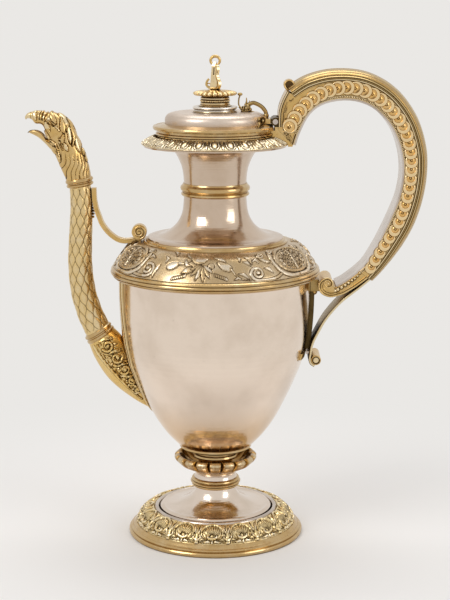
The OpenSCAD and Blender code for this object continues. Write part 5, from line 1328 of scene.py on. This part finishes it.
def seen_plain(tree):
    """Share that is 1 for what the camera and mirrors see directly, and 0 for light on matt things."""
    camera, glossy = (add(tree, "LightPath", out=ray) for ray in ("Is Camera Ray", "Is Glossy Ray"))
    return add(tree, "Math", {0: camera, 1: glossy}, operation="MAXIMUM")


def paper():
    """Matt white seamless paper. Far from the vessel it goes over to the plain background."""
    material = bpy.data.materials.new("seamless_paper_matt")
    material.use_nodes = True
    tree = material.node_tree
    shader = tree.nodes["Principled BSDF"]
    shader.inputs["Base Color"].default_value = linear("#f4f2f0")
    shader.inputs["Roughness"].default_value = 0.9
    glow = add(tree, "Emission", {"Color": linear(PAPER), "Strength": 1.0})
    away = add(tree, "VectorMath", {0: add(tree, "TexCoord", out="Object")}, "Value", operation="LENGTH")
    far = add(tree, "MapRange", {0: away, 1: 0.12, 2: 0.4}, **SMOOTH)
    share = add(tree, "Math", {0: seen_plain(tree), 1: far}, operation="MULTIPLY")
    mixed = add(tree, "MixShader", {0: share, 1: shader.outputs[0], 2: glow})
    tree.links.new(mixed, tree.nodes["Material Output"].inputs["Surface"])
    return material


def make_stage():
    """Wide round floor of seamless paper."""
    bm = bmesh.new()
    bmesh.ops.create_circle(bm, cap_ends=True, segments=96, radius=FLOOR_RADIUS)
    mesh = bpy.data.meshes.new("floor")
    bm.to_mesh(mesh)
    bm.free()
    floor = bpy.data.objects.new("floor", mesh)
    mesh.materials.append(paper())
    bpy.context.scene.collection.objects.link(floor)


def make_world():
    """Pale room: plain to the camera and in mirrors, and a little dimmer as light on matt things."""
    world = bpy.data.worlds.new("pale_room")
    world.use_nodes = True
    tree = world.node_tree
    tree.nodes.clear()
    plain = add(tree, "Background", {"Color": linear(PAPER), "Strength": 1.0})
    light = add(tree, "Background", {"Color": linear("#f2f1f0"), "Strength": 0.62})
    mixed = add(tree, "MixShader", {0: seen_plain(tree), 1: light, 2: plain})
    tree.links.new(mixed, tree.nodes.new("ShaderNodeOutputWorld").inputs["Surface"])
    bpy.context.scene.world = world


def make_lights():
    """Soft boxes turned to the middle of the vessel: the key, the fill and one from above."""
    # name, place, width and height, power
    for name, place, size, power in (("key_softbox", (-1.1, -0.9, 1.3), (0.8, 0.8), 9),
                                     ("fill_softbox", (1.3, -0.8, 0.8), (0.7, 1.0), 5),
                                     ("top_softbox", (0.1, 0.5, 1.6), (1.2, 0.7), 7)):
        data = bpy.data.lights.new(name, "AREA")
        data.shape = "RECTANGLE"
        data.size, data.size_y = size
        data.energy = power
        lamp = bpy.data.objects.new(name, data)
        lamp.location = place
        lamp.rotation_euler = (MIDDLE - Vector(place)).to_track_quat("-Z", "Y").to_euler()
        bpy.context.scene.collection.objects.link(lamp)


def make_camera():
    """Camera 1.16 m away that looks down by TILT degrees, with a 96 mm lens on a 36 mm side."""
    data = bpy.data.cameras.new("camera")
    data.lens = 96
    data.sensor_width = 36
    camera = bpy.data.objects.new("camera", data)
    camera.location = (0.00704, -1.1395, 0.4017)
    camera.rotation_euler = (math.radians(90 - TILT), 0, 0)
    bpy.context.scene.collection.objects.link(camera)
    bpy.context.scene.camera = camera


make_stage()
make_world()
make_lights()
make_camera()
bpy.context.scene.view_settings.view_transform = "Standard"
